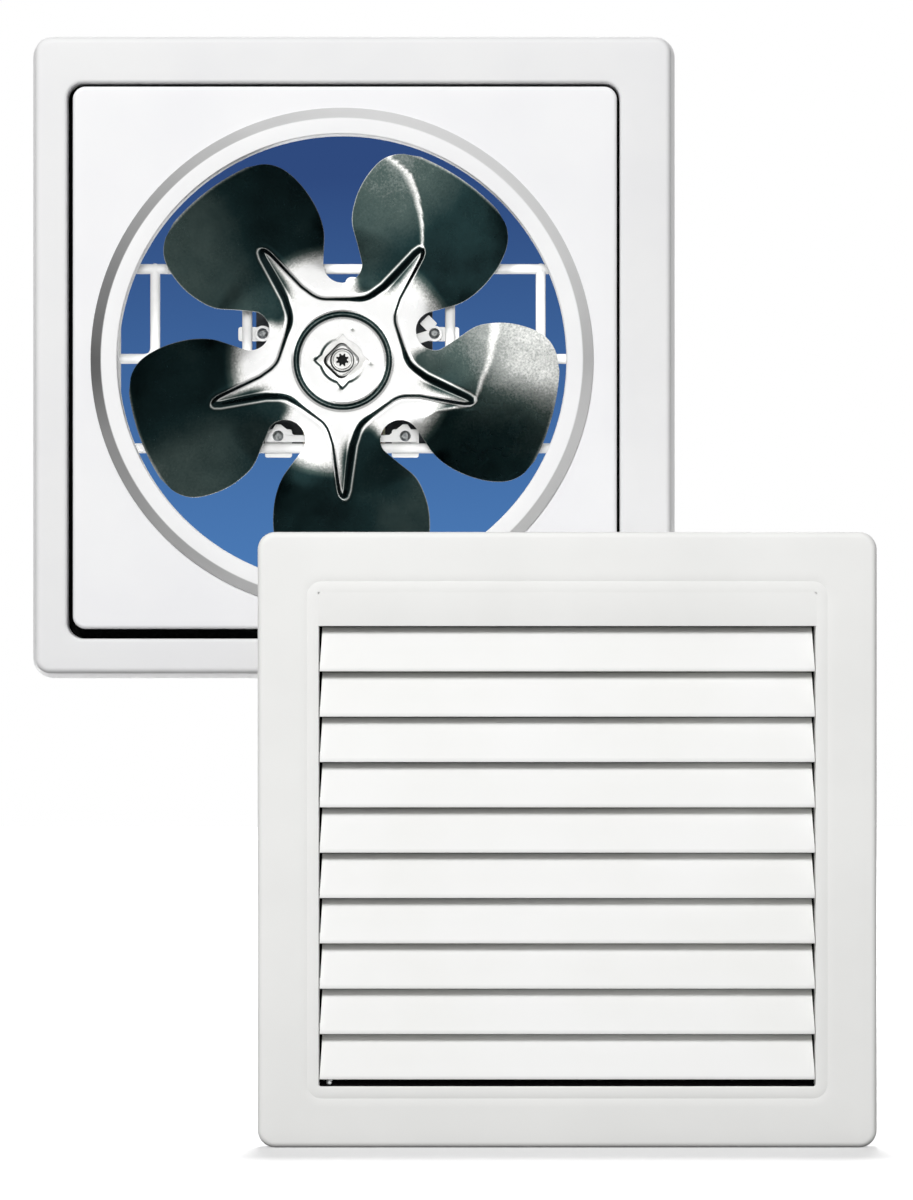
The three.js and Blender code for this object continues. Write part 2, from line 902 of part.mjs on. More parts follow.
const hubFrontY = impeller.planeY - impeller.starHeight;
const hubRearY = hubFrontY + impeller.sheet;
const shaftHole = shaft.radius + slip;
const nutRearY = hubFrontY - gap - hub.washerThickness - gap;
const nutFrontY = nutRearY - hub.nutThickness;

function hubBoss() {
  const y0 = hubRearY + gap;
  const step = y0 + hub.bossFlangeThickness;
  const profile = [
    [shaftHole, y0],
    [hub.bossFlangeRadius, y0],
    [hub.bossFlangeRadius, step],
    [hub.bossRadius, step],
    [hub.bossRadius, y0 + hub.bossLength],
    [shaftHole, y0 + hub.bossLength],
    [shaftHole, y0],
  ];
  return revolved(profile, midSides);
}

// Lock washer with points that stand out past the nut's flats.
function hubWasher() {
  const sector = 360 / hub.washerPoints;
  const half = hub.washerPointHalfAngle;
  const steps = [half, mix(half, sector - half, 0.33), mix(half, sector - half, 0.67), sector - half];
  const corners = [];
  for (let i = 0; i < hub.washerPoints; i++) {
    corners.push([hub.washerPointRadius, i * sector]);
    corners.push(...steps.map((angle) => [hub.washerRadius, i * sector + angle]));
  }
  const outline = polygon(corners.map(([radius, angle]) => onCircle(radius, degrees(angle))));
  const disc = sheetXZ(outline, hubFrontY - gap, hub.washerThickness);
  const bore = rod(shaftHole, [0, nutRearY, 0], [0, hubRearY, 0], midSides);
  return cut(disc, [bore]);
}

function hubNut() {
  const outline = roundedRectangle(hub.nutSize, hub.nutSize, hub.nutCorner);
  const nut = sheetXZ(outline, nutRearY, hub.nutThickness).rotate([0, hub.nutTurn, 0]);
  const bore = rod(shaftHole, [0, nutFrontY - through, 0], [0, nutRearY + through, 0], midSides);
  return cut(nut, [bore]);
}

// Screw in the shaft's end with a splined head.
function hubScrew() {
  const teeth = 2 * hub.screwSplines;
  const corners = [];
  for (let i = 0; i < teeth; i++) {
    const radius = hub.screwHeadRadius - (i % 2) * hub.screwSplineDepth;
    corners.push(onCircle(radius, (i / teeth) * Math.PI * 2));
  }
  const rear = nutFrontY - gap;
  const head = sheetXZ(polygon(corners), rear, hub.screwHeadHeight);
  const shank = rod(hub.screwShankRadius, [0, rear - overlapJoin, 0], [0, rear + hub.screwLength, 0]);
  return head.add(shank);
}

function motorShaft() {
  const tapRadius = hub.screwShankRadius + slip;
  const tapEnd = shaft.frontY + shaft.tapDepth;
  return revolved(
    [
      [tapRadius, shaft.frontY],
      [shaft.radius, shaft.frontY],
      [shaft.radius, shaft.rearY],
      [0, shaft.rearY],
      [0, tapEnd],
      [tapRadius, tapEnd],
      [tapRadius, shaft.frontY],
    ],
    midSides,
  );
}

const statorRearY = motor.statorFrontY + motor.statorDepth;

function motorRotor() {
  const ring = motor.endRingLength;
  return revolved(
    [
      [shaftHole, motor.statorFrontY - ring],
      [motor.endRingRadius, motor.statorFrontY - ring],
      [motor.endRingRadius, motor.statorFrontY],
      [motor.rotorRadius, motor.statorFrontY],
      [motor.rotorRadius, statorRearY],
      [motor.endRingRadius, statorRearY],
      [motor.endRingRadius, statorRearY + ring],
      [shaftHole, statorRearY + ring],
      [shaftHole, motor.statorFrontY - ring],
    ],
    midSides,
  );
}

function statorCore() {
  const height = motor.statorTop - motor.statorBottom;
  const middle = (motor.statorTop + motor.statorBottom) / 2;
  const outline = roundedRectangle(2 * motor.statorHalfWidth, height, motor.statorCorner, 0, middle);
  const block = sheetXZ(outline, statorRearY, motor.statorDepth);
  const [from, to] = [motor.statorFrontY - through, statorRearY + through];
  const window = box(
    -motor.windowHalfWidth,
    motor.windowHalfWidth,
    from,
    to,
    motor.statorBottom + motor.statorLeg,
    motor.windowTop,
  );
  const bore = rod(motor.rotorRadius + motor.airGap, [0, from, 0], [0, to, 0], 2 * midSides);
  return cut(block, [window, bore, ...boltHoles(from, to)]);
}

// Cutters for the two bolts that run through the carrier, the brackets and the stator.
function boltHoles(from, to) {
  return [-motor.boltX, motor.boltX].map((x) =>
    rod(motor.boltRadius + slip, [x, from, 0], [x, to, 0]),
  );
}

const legMiddleZ = motor.statorBottom + motor.statorLeg / 2;
const statorMiddleY = motor.statorFrontY + motor.statorDepth / 2;
const windowHeight = motor.windowTop - motor.statorBottom - motor.statorLeg;
const bobbinSurface = gap + motor.bobbinWall;
const bobbinBrim = windowHeight - gap;

// A ring round the stator's lower leg, from [place along X, growth over the leg] points.
function legRing(profile) {
  const { statorDepth: width, statorLeg: height, legCorner: radius } = motor;
  const leg = { width, height, radius, steps: 1 };
  const loops = profile.map(([along, by]) => rectangleLoop({ ...grown(leg, by), y: along }));
  const geometry = moulding(loops);
  geometry.rotateZ(Math.PI / 2);
  geometry.translate(0, statorMiddleY, legMiddleZ);
  return solid(geometry);
}

function coilBobbin() {
  const half = motor.windowHalfWidth - gap;
  const inner = half - motor.bobbinWall;
  return legRing([
    [half, gap],
    [half, bobbinBrim],
    [inner, bobbinBrim],
    [inner, bobbinSurface],
    [-inner, bobbinSurface],
    [-inner, bobbinBrim],
    [-half, bobbinBrim],
    [-half, gap],
  ]);
}

function motorCoil() {
  const half = motor.windowHalfWidth - gap - motor.bobbinWall - gap;
  const inner = bobbinSurface + gap;
  const outer = bobbinBrim - motor.coilClearance;
  const edge = motor.coilEdge;
  return legRing([
    [half, inner],
    [half, outer - edge],
    [half - edge, outer],
    [edge - half, outer],
    [-half, outer - edge],
    [-half, inner],
  ]);
}

// Cast bearing bracket: a bar with a boss and two legs. The legs run from footY towards the stator.
function bearingBracket({ footY, legLength, bossLength, towards }) {
  const { bracketHalfWidth, bracketHalfHeight, bracketThickness, bracketCorner } = motor;
  const bar = roundedRectangle(2 * bracketHalfWidth, 2 * bracketHalfHeight, bracketCorner);
  const barRear = Math.max(footY, footY + towards * bracketThickness);
  const end = footY + towards * legLength;
  const bossStart = footY - towards * motor.bossProud;
  const bossEnd = bossStart + towards * bossLength;
  const legs = [-motor.boltX, motor.boltX].map((x) =>
    rod(motor.legRadius, [x, footY, 0], [x, end, 0]),
  );
  const boss = rod(motor.bossRadius, [0, bossStart, 0], [0, bossEnd, 0], midSides);
  const body = joined([sheetXZ(bar, barRear, bracketThickness), boss, ...legs]);
  const from = Math.min(bossStart, bossEnd, end) - through;
  const to = Math.max(bossStart, bossEnd, end) + through;
  const bore = rod(motor.bearingRadius + slip, [0, from, 0], [0, to, 0], midSides);
  return cut(body, [bore, ...boltHoles(from, to)]);
}

const carrierRearY = wire.y - wire.radius - gap;
const carrierFrontY = carrierRearY - carrier.thickness;
const clampFrontY = wire.y + wire.radius + gap;
const clampRearY = clampFrontY + carrier.thickness;
const frontFootY = carrierRearY + gap;
const frontLegLength = motor.statorFrontY - gap - frontFootY;
const rearFootY = statorRearY + gap + motor.rearLegLength;

function bearing(frontY) {
  const profile = tubeProfile(shaftHole, motor.bearingRadius, frontY, frontY + motor.bearingLength);
  return revolved(profile, midSides);
}

function motorBolt(x) {
  const seat = carrierFrontY - gap;
  const nutSeat = rearFootY + gap;
  const height = motor.boltHeadHeight;
  const end = nutSeat + height + motor.boltEnd;
  return joined([
    rod(motor.boltHeadRadius, [x, seat - height, 0], [x, seat, 0], 6),
    rod(motor.boltRadius, [x, seat - overlapJoin, 0], [x, end, 0]),
    rod(motor.boltHeadRadius, [x, nutSeat, 0], [x, nutSeat + height, 0], 6),
  ]);
}

const plateXZ = (points) => sheetXZ(polygon(points), carrierRearY, carrier.thickness);
const footLow = wire.bottomZ + wire.radius + carrier.footClearance;
const footHigh = footLow + carrier.footHeight;

// Arm from the middle of the carrier plate to the round end beside a post.
function carrierArm({ x, z }) {
  const length = Math.hypot(x, z);
  const [ux, uz] = [x / length, z / length];
  const along = (t, side) => [ux * t - uz * side, uz * t + ux * side];
  const arm = plateXZ([
    along(0, -carrier.armHalfWidth),
    along(length, -carrier.armHalfWidth),
    along(length, carrier.armHalfWidth),
    along(0, carrier.armHalfWidth),
  ]);
  const end = rod(carrier.armEarRadius, [x, carrierFrontY, z], [x, carrierRearY, z], midSides);
  return arm.add(end);
}

// Three-cornered ear that rises from the foot.
function carrierEar({ x, side }) {
  const peak = carrier.earPeakWidth / 2;
  const shoulder = mix(footLow, footHigh, 0.5);
  return plateXZ([
    [x + side * carrier.earOuterReach, footLow],
    [x + side * carrier.earOuterReach, shoulder],
    [x + side * peak, carrier.earPeakZ],
    [x - side * peak, carrier.earPeakZ],
    [x - side * carrier.earInnerReach, shoulder],
    [x - side * carrier.earInnerReach, footLow],
  ]);
}

// Square lug on its corner, above the right arm's end.
function carrierLug({ x, z }) {
  const [cx, cz, half] = [x - carrier.lugOffsetX, z + carrier.lugOffsetZ, carrier.lugHalf];
  return plateXZ([
    [cx + half, cz],
    [cx, cz + half],
    [cx - half, cz],
    [cx, cz - half],
  ]);
}

function motorCarrier() {
  const { webHalfWidth: web, tongueX, tongueHalfWidth: tongue, tongueTopZ } = carrier;
  const [from, to] = [carrierFrontY, carrierRearY];
  const disc = rod(carrier.centreRadius, [0, from, 0], [0, to, 0], roundSides);
  const body = joined([
    disc,
    box(-web, web, from, to, footLow, 0),
    box(lowerEars[0].x, lowerEars[1].x, from, to, footLow, footHigh),
    box(tongueX - tongue, tongueX + tongue, from, to, 0, tongueTopZ),
    ...lowerEars.map(carrierEar),
    ...upperEars.map(carrierArm),
    carrierLug(upperEars[1]),
  ]);
  const [low, high] = [from - through, to + through];
  const holes = [...lowerEars, ...upperEars].map(({ x, z }) =>
    rod(carrier.screwRadius + slip, [x, low, z], [x, high, z]),
  );
  const middle = rod(motor.bossRadius + slip, [0, low, 0], [0, high, 0], roundSides);
  return cut(body, [...holes, middle, ...boltHoles(low, high)]);
}

// Bar behind the wire, held by one screw: across the lower wire, or across a post.
function wireClamp({ x, z, side, postX }) {
  const { clampHalf, clampOverlap, clampHalfLength } = carrier;
  const post = [x - side * clampHalf, postX + side * clampOverlap];
  const spanX = postX ? post : [x - clampHalfLength, x + clampHalfLength];
  const spanZ = postX ? [z - clampHalf, z + clampHalf] : [wire.bottomZ - clampOverlap, z + clampHalf];
  const bar = box(Math.min(...spanX), Math.max(...spanX), clampFrontY, clampRearY, ...spanZ);
  const from = [x, clampFrontY - through, z];
  const to = [x, clampRearY + through, z];
  return cut(bar, [rod(carrier.screwRadius + slip, from, to)]);
}

function carrierScrew({ x, z }) {
  const rear = carrierFrontY - gap;
  const front = rear - carrier.screwHeadHeight;
  const profile = [
    [0, front],
    [carrier.screwHeadRadius * carrier.screwFlatShare, front],
    [carrier.screwHeadRadius, mix(front, rear, carrier.screwFlatShare)],
    [carrier.screwHeadRadius, rear],
    [0, rear],
  ];
  const head = revolved(profile, midSides).translate([x, 0, z]);
  const end = clampRearY + carrier.screwRearReach;
  const shank = rod(carrier.screwRadius, [x, rear - overlapJoin, z], [x, end, z]);
  return head.add(shank);
}

const legX = sleeveHalf - gap - wire.radius;

function wireCradle() {
  const { y, topZ, bottomZ, loopZ, radius } = wire;
  const sideX = legX - wire.sideInset;
  const leftLoopX = wire.leftLoopWidth - sideX;
  const rightLoopX = sideX - wire.rightLoopWidth;
  const bar = (from, to) => rod(radius, from, to);
  const ball = new THREE.SphereGeometry(radius, smallSides, smallSides / 2);
  const elbow = (x, z) => solid(ball.clone().translate(x, y, z));
  const bars = [];
  for (const z of [topZ, bottomZ]) {
    bars.push(bar([-legX, y, z], [legX, y, z]));
    for (const x of [-legX, legX]) {
      bars.push(bar([x, y, z], [x, wire.legRearY, z]));
      bars.push(elbow(x, z));
    }
  }
  for (const x of [-sideX, sideX, wire.leftPostX, wire.rightPostX]) {
    bars.push(bar([x, y, bottomZ], [x, y, topZ]));
  }
  bars.push(bar([-sideX, y, loopZ], [leftLoopX, y, loopZ]));
  bars.push(bar([rightLoopX, y, loopZ], [sideX, y, loopZ]));
  for (const x of [leftLoopX, rightLoopX]) {
    bars.push(bar([x, y, loopZ], [x, y, topZ]));
    bars.push(elbow(x, loopZ));
  }
  return joined(bars);
}

// Where the cradle's four legs lie, with the place of each clip's screw beside its leg.
function clipPlaces() {
  const places = [];
  for (const [side, across] of [
    [-1, "left"],
    [1, "right"],
  ]) {
    for (const [z, up, height] of [
      [wire.topZ, 1, "upper"],
      [wire.bottomZ, -1, "lower"],
    ]) {
      const screwZ = z + up * (wire.radius + clip.sheet + clip.footLength / 2 + clip.screwOffset);
      places.push({ name: height + "_" + across, side, up, z, screwZ });
    }
  }
  return places;
}

// Saddle over a leg with one foot on the sleeve's wall.
function cradleClip({ side, up, z, screwZ }) {
  const inner = wire.radius + gap;
  const outer = inner + clip.sheet;
  const wall = sleeveHalf - gap;
  const at = ([inward, along]) => [side * (wall - inward), z + up * along];
  const arch = (radius, turns) =>
    turns.map((turn) => {
      const [inward, along] = onCircle(radius, degrees(turn));
      return [wire.radius + inward, along];
    });
  const corners = [
    [0, -inner],
    [0, -outer],
    ...arch(outer, [-90, -45, 0, 45, 90]),
    [clip.sheet, outer],
    [clip.sheet, outer + clip.footLength],
    [0, outer + clip.footLength],
    [0, inner],
    ...arch(inner, [90, 45, 0, -45, -90]),
  ];
  const saddle = sheetXZ(polygon(corners.map(at)), clip.y + clip.length / 2, clip.length);
  const from = [side * (wall - clip.sheet - through), clip.y, screwZ];
  const to = [side * (wall + through), clip.y, screwZ];
  return cut(saddle, [rod(clip.screwRadius + slip, from, to)]);
}

function clipScrew({ side, screwZ }) {
  const seat = sleeveHalf - gap - clip.sheet - gap;
  const at = (inward) => [side * inward, clip.y, screwZ];
  const head = rod(clip.screwHeadRadius, at(seat - clip.screwHeadHeight), at(seat), midSides);
  const shank = rod(clip.screwRadius, at(seat - overlapJoin), at(sleeveOutside + clip.screwReach));
  return head.add(shank);
}

function terminalBlock() {
  const { x, width, depth, height, stepDepth, stepHeight, wells } = terminal;
  const y = sleeveRearY - terminal.rearInset;
  const floor = gap - sleeveHalf;
  const top = floor + height;
  const [left, front] = [x - width / 2, y - depth / 2];
  const body = box(left, left + width, front, front + depth, floor, top);
  const step = box(
    left - through,
    left + width + through,
    front - through,
    front + stepDepth,
    top - stepHeight,
    top + through,
  );
  const holes = [];
  for (let i = 0; i < wells; i++) {
    const wellX = left + ((i + 0.5) * width) / wells;
    const from = [wellX, y, top - terminal.wellDepth];
    holes.push(rod(terminal.wellRadius, from, [wellX, y, top + through]));
  }
  return cut(body, [step, ...holes]);
}

// Cable inlet: a flanged bush through the sleeve's lower wall, and its nut below.
function cableInlet() {
  const wallTop = -sleeveHalf;
  const profile = [
    [inlet.boreRadius, wallTop - inlet.outerLength],
    [inlet.bodyRadius, wallTop - inlet.outerLength],
    [inlet.bodyRadius, wallTop + gap],
    [inlet.flangeRadius, wallTop + gap],
    [inlet.flangeRadius, wallTop + gap + inlet.flangeThickness],
    [inlet.bodyRadius, wallTop + inlet.innerLength],
    [inlet.boreRadius, wallTop + inlet.innerLength],
    [inlet.boreRadius, wallTop - inlet.outerLength],
  ];
  return revolved(profile, midSides).rotate([90, 0, 0]).translate([inlet.x, inletY, 0]);
}

function inletNut() {
  const top = -sleeveOutside - gap;
  const low = top - inlet.nutThickness;
  const at = (z) => [inlet.x, inletY, z];
  const nut = rod(inlet.nutRadius, at(low), at(top), 6);
  const bore = rod(inlet.bodyRadius + slip, at(low - through), at(top + through), midSides);
  return cut(nut, [bore]);
}

// Louvred outlet, in its own frame: the centre of its front face at the origin.
const slatPitch = (louvre.openingHeight - louvre.stripHeight - slat.bottomGap) / slat.count;
const crankX = louvre.openingWidth / 2 - slat.crankInset;
const slatTopZ = louvre.openingHeight / 2 - louvre.stripHeight + slat.overlap;
const slatHingeZ = (index) => slatTopZ - index * slatPitch;
const slatFall = slatPitch + slat.overlap;

function louvreFrame() {
  const outer = { width: louvre.width, height: louvre.height, radius: louvre.corner };
  const opening = {
    width: louvre.openingWidth,
    height: louvre.openingHeight,
    radius: louvre.openingCorner,
  };
  const skirt = grown(opening, louvre.skirtWall);
  const inside = grown(outer, -louvre.wall);
  const shell = solid(
    moulding([
      rectangleLoop({ ...outer, y: louvre.rimDepth }),
      ...edgeLoops(outer, louvre.edgeRound, 0),
      rectangleLoop({ ...opening, y: 0 }),
      rectangleLoop({ ...opening, y: louvre.skirtDepth }),
      rectangleLoop({ ...skirt, y: louvre.skirtDepth }),
      rectangleLoop({ ...skirt, y: louvre.wall }),
      rectangleLoop({ ...inside, y: louvre.wall }),
      rectangleLoop({ ...inside, y: louvre.rimDepth }),
    ]),
  );
  const halfWidth = louvre.openingWidth / 2;
  const top = louvre.openingHeight / 2;
  const strip = box(
    -halfWidth - overlapJoin,
    halfWidth + overlapJoin,
    0,
    louvre.stripThickness,
    top - louvre.stripHeight,
    top + overlapJoin,
  );
  const holes = [];
  for (let i = 0; i < slat.count; i++) {
    const z = slatHingeZ(i);
    for (const side of [-1, 1]) {
      const from = [side * (halfWidth - through), slat.hingeSetback, z];
      const to = [side * (halfWidth + louvre.skirtWall + through), slat.hingeSetback, z];
      holes.push(rod(slat.pinRadius + slip, from, to));
    }
  }
  return cut(shell.add(strip), holes);
}

// One slat in its hinge's frame: barrel at the origin, sheet sloping down to the front face.
function louvreSlat() {
  const reach = slat.hingeSetback - slat.lipDepth;
  const half = slat.sheet / 2;
  const outline = new THREE.Shape();
  const front = -slat.hingeSetback;
  outline.absarc(0, 0, slat.barrelRadius, degrees(-70), degrees(200), false);
  outline.lineTo(front, -slatFall + slat.lipHeight);
  outline.lineTo(front, -slatFall);
  outline.lineTo(-reach, -slatFall);
  outline.lineTo(-reach, -slatFall + slat.lipHeight);
  outline.closePath();
  const halfLength = louvre.openingWidth / 2 - gap;
  const geometry = barGeometryX(outline, -halfLength, halfLength);
  const position = geometry.getAttribute("position");
  for (let i = 0; i < position.count; i++) {
    const rise = Math.min(1, Math.max(0, 1 + position.getZ(i) / slatFall));
    const x = position.getX(i);
    position.setX(i, x - Math.sign(x) * slat.endTaper * rise);
  }
  const pins = [-1, 1].map((side) => {
    const start = halfLength - slat.endTaper - overlapJoin;
    const end = halfLength + slat.pinReach;
    return rod(slat.pinRadius, [side * start, 0, 0], [side * end, 0, 0], pinSides);
  });
  const crank = polygon([
    [0, -slat.crankHalfHeight / 2],
    [slat.crankReach, -slat.crankHalfHeight],
    [slat.crankReach + slat.crankHalfHeight, 0],
    [slat.crankReach, slat.crankHalfHeight],
    [0, slat.barrelRadius],
  ]);
  const arm = barX(crank, crankX, crankX + slat.crankThickness);
  const pinStart = crankX + overlapJoin;
  const pinEnd = crankX - slat.crankPinLength;
  const pinAt = (x) => [x, slat.crankReach, 0];
  const crankPin = rod(slat.crankPinRadius, pinAt(pinStart), pinAt(pinEnd), pinSides);
  return joined([solid(geometry), ...pins, arm, crankPin]);
}

// Tie bar in the frame of the first slat's crank pin. It hangs down past all the cranks.
function louvreTieBar() {
  const high = tieBar.endMargin;
  const low = (1 - slat.count) * slatPitch - tieBar.endMargin;
  const half = tieBar.depth / 2;
  const right = crankX - gap;
  const left = right - tieBar.thickness;
  const holes = [];
  for (let i = 0; i < slat.count; i++) {
    const at = (x) => [x, 0, -i * slatPitch];
    holes.push(rod(slat.crankPinRadius + slip, at(left - through), at(right + through)));
  }
  return cut(box(left, right, -half, half, low, high), holes);
}

// Peg in the lower left of the opening, on which the lowest slat's end rests.
function slatRestPeg() {
  const floor = gap - louvre.openingHeight / 2;
  const at = (z) => [restPeg.inset - louvre.openingWidth / 2, restPeg.setback, z];
  return rod(restPeg.radius, at(floor), at(floor + restPeg.height));
}

const fan = new THREE.Group();

const casing = new THREE.Group();
fan.add(casing);
piece("outer_frame", outerFrame(), finish.casing, casing);
piece("wall_sleeve", wallSleeve(), finish.casing, casing);
piece("orifice_panel", orificePanel(), finish.panel, casing);
piece("throat_ring", throatRing(), finish.panel, casing);

const cradle = new THREE.Group();
fan.add(cradle);
piece("wire_cradle", wireCradle(), finish.whiteSteel, cradle);
for (const place of clipPlaces()) {
  piece("cradle_clip_" + place.name, cradleClip(place), finish.whiteSteel, cradle);
  piece("clip_screw_" + place.name, clipScrew(place), finish.zinc, cradle);
}
piece("motor_carrier", motorCarrier(), finish.whiteSteel, cradle);
for (const ear of [...lowerEars, ...upperEars]) {
  piece("wire_clamp_" + ear.name, wireClamp(ear), finish.whiteSteel, cradle);
  piece("carrier_screw_" + ear.name, carrierScrew(ear), finish.zinc, cradle);
}

const driveMotor = new THREE.Group();
fan.add(driveMotor);
piece("stator_core", statorCore(), finish.lamination, driveMotor);
piece("coil_bobbin", coilBobbin(), finish.bobbin, driveMotor);
piece("motor_coil", motorCoil(), finish.copper, driveMotor);
const frontBracket = {
  footY: frontFootY,
  legLength: frontLegLength,
  bossLength: motor.frontBossLength,
  towards: 1,
};
const rearBracket = {
  footY: rearFootY,
  legLength: motor.rearLegLength,
  bossLength: motor.rearBossLength,
  towards: -1,
};
piece("front_bearing_bracket", bearingBracket(frontBracket), finish.zinc, driveMotor);
piece("rear_bearing_bracket", bearingBracket(rearBracket), finish.zinc, driveMotor);
const rearBearingY = rearFootY + motor.bearingProud - motor.bearingLength;
piece("front_bearing", bearing(frontFootY - motor.bearingProud), finish.bright, driveMotor);
piece("rear_bearing", bearing(rearBearingY), finish.bright, driveMotor);
piece("motor_bolt_left", motorBolt(-motor.boltX), finish.zinc, driveMotor);
piece("motor_bolt_right", motorBolt(motor.boltX), finish.zinc, driveMotor);

const wiring = new THREE.Group();
fan.add(wiring);
piece("terminal_block", terminalBlock(), finish.blackPlastic, wiring);
piece("cable_inlet", cableInlet(), finish.blackPlastic, wiring);
piece("inlet_nut", inletNut(), finish.blackPlastic, wiring);

const rotating = new THREE.Group();
fan.add(rotating);
piece("impeller", impellerPressing(), finish.pressed, rotating);
piece("hub_boss", hubBoss(), finish.zinc, rotating);
piece("hub_washer", hubWasher(), finish.bright, rotating);
piece("hub_nut", hubNut(), finish.bright, rotating);
piece("hub_screw", hubScrew(), finish.zinc, rotating);
piece("motor_shaft", motorShaft(), finish.bright, rotating);
piece("motor_rotor", motorRotor(), finish.lamination, rotating);

const outlet = new THREE.Group();
outlet.position.set(louvre.centreX, louvre.frontY, louvre.centreZ);
fan.add(outlet);
piece("louvre_frame", louvreFrame(), finish.casing, outlet);
piece("slat_rest_peg", slatRestPeg(), finish.bright, outlet);
const slatBody = louvreSlat();
for (let i = 0; i < slat.count; i++) {
  const name = "slat_" + String(i + 1).padStart(2, "0");
  const mesh = piece(name, slatBody, finish.slats, outlet);
  mesh.position.set(0, slat.hingeSetback, slatHingeZ(i));
}
const tie = piece("tie_bar", louvreTieBar(), finish.slats, outlet);
tie.position.set(0, slat.hingeSetback + slat.crankReach, slatHingeZ(0));

export default fan;
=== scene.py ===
import math
import bmesh
import bpy
import numpy as np
from mathutils import Matrix, Vector
from mathutils.geometry import delaunay_2d_cdt


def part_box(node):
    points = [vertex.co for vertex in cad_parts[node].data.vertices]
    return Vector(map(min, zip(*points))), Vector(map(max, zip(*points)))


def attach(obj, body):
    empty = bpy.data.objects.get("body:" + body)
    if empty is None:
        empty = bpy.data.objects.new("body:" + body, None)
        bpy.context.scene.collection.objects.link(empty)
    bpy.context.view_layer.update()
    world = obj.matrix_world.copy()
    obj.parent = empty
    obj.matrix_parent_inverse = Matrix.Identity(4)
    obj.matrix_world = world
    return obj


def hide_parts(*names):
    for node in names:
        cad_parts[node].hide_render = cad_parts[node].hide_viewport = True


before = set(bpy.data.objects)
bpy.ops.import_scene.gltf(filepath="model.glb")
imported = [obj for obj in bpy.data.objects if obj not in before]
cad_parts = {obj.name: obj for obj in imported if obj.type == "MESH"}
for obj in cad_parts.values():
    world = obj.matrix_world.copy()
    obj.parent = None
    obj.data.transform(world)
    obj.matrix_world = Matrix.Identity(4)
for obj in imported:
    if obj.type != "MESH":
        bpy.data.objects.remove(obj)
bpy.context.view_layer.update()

scene = bpy.context.scene
scene.view_settings.view_transform = "Standard"
mm = 0.001
sharpFrom = 35  # degrees between two faces past which their edge stays sharp
print("frame loaded:", len(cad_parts), "nodes")


# helpers: colours, nodes, meshes

def linearColour(hexText):  # sRGB hex to the linear values that sockets take
    channels = [int(hexText[i:i + 2], 16) / 255 for i in (1, 3, 5)]
    return [c / 12.92 if c <= 0.04045 else ((c + 0.055) / 1.055) ** 2.4 for c in channels] + [1]


def perMetre(sizeMm):  # a pattern's scale from its real size
    return 1000 / sizeMm


def addNode(tree, kind, settings=None, inputs=None):  # inputs hold values, or sockets to link from
    node = tree.nodes.new(kind)
    for key, value in (settings or {}).items():
        if key != "stops":
            setattr(node, key, value)
            continue
        elements = node.color_ramp.elements  # stops: (position, hex colour or plain level) pairs
        while len(elements) < len(value):
            elements.new(0.5)
        for element, (position, colour) in zip(elements, value):
            element.position = position
            element.color = linearColour(colour) if isinstance(colour, str) else (colour, colour, colour, 1)
    for key, value in (inputs or {}).items():
        if isinstance(value, bpy.types.NodeSocket):
            tree.links.new(value, node.inputs[key])
        else:
            node.inputs[key].default_value = value
    return node


def linked(name, data):
    obj = bpy.data.objects.new(name, data)
    scene.collection.objects.link(obj)
    return obj


def cleanMesh(mesh, sharpAngle=sharpFrom):  # merged, facing outwards, smooth up to an angle
    work = bmesh.new()
    work.from_mesh(mesh)
    bmesh.ops.remove_doubles(work, verts=work.verts, dist=0.002 * mm)
    bmesh.ops.dissolve_degenerate(work, edges=work.edges, dist=0.001 * mm)
    bmesh.ops.recalc_face_normals(work, faces=work.faces)
    work.to_mesh(mesh)
    work.free()
    mesh.shade_smooth()
    mesh.set_sharp_from_angle(angle=math.radians(sharpAngle))


def meshObject(name, points, faces):  # points in mm
    mesh = bpy.data.meshes.new(name)
    mesh.from_pydata((np.asarray(points, float) * mm).tolist(), [], faces)
    cleanMesh(mesh)
    return linked(name, mesh)


def evaluated(obj, name, sharpAngle=sharpFrom):  # what a curve or modifier makes, as a plain mesh object
    bpy.context.view_layer.update()
    mesh = bpy.data.meshes.new_from_object(obj.evaluated_get(bpy.context.evaluated_depsgraph_get()))
    bpy.data.objects.remove(obj)
    mesh.name = name
    cleanMesh(mesh, sharpAngle)
    return linked(name, mesh)


def joinMeshes(name, objects):
    work = bmesh.new()
    for obj in objects:
        work.from_mesh(obj.data)
        bpy.data.objects.remove(obj)
    mesh = bpy.data.meshes.new(name)
    work.to_mesh(mesh)
    work.free()
    mesh.shade_smooth()
    mesh.set_sharp_from_angle(angle=math.radians(sharpFrom))
    return linked(name, mesh)


def moved(obj, matrix):  # the place goes into the mesh
    obj.data.transform(matrix)
    if matrix.determinant() < 0:
        obj.data.flip_normals()
    return obj


def settle(obj, body, look, nodes):  # last step of a piece
    obj.data.materials.clear()
    obj.data.materials.append(materials[look])
    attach(obj, body)
    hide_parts(*nodes)
    if body.startswith(("louvre", "slat")):
        louvrePieces.objects.link(obj)
    return obj


# helpers: shapes, all in mm

def boxOf(node):  # a CAD node's low and high corners
    return [[value / mm for value in corner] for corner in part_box(node)]


def faceOf(node, corner):  # its outline from the front: width, height, corner radius, centre
    (x0, _, z0), (x1, _, z1) = boxOf(node)
    return x1 - x0, z1 - z0, corner, ((x0 + x1) / 2, (z0 + z1) / 2)


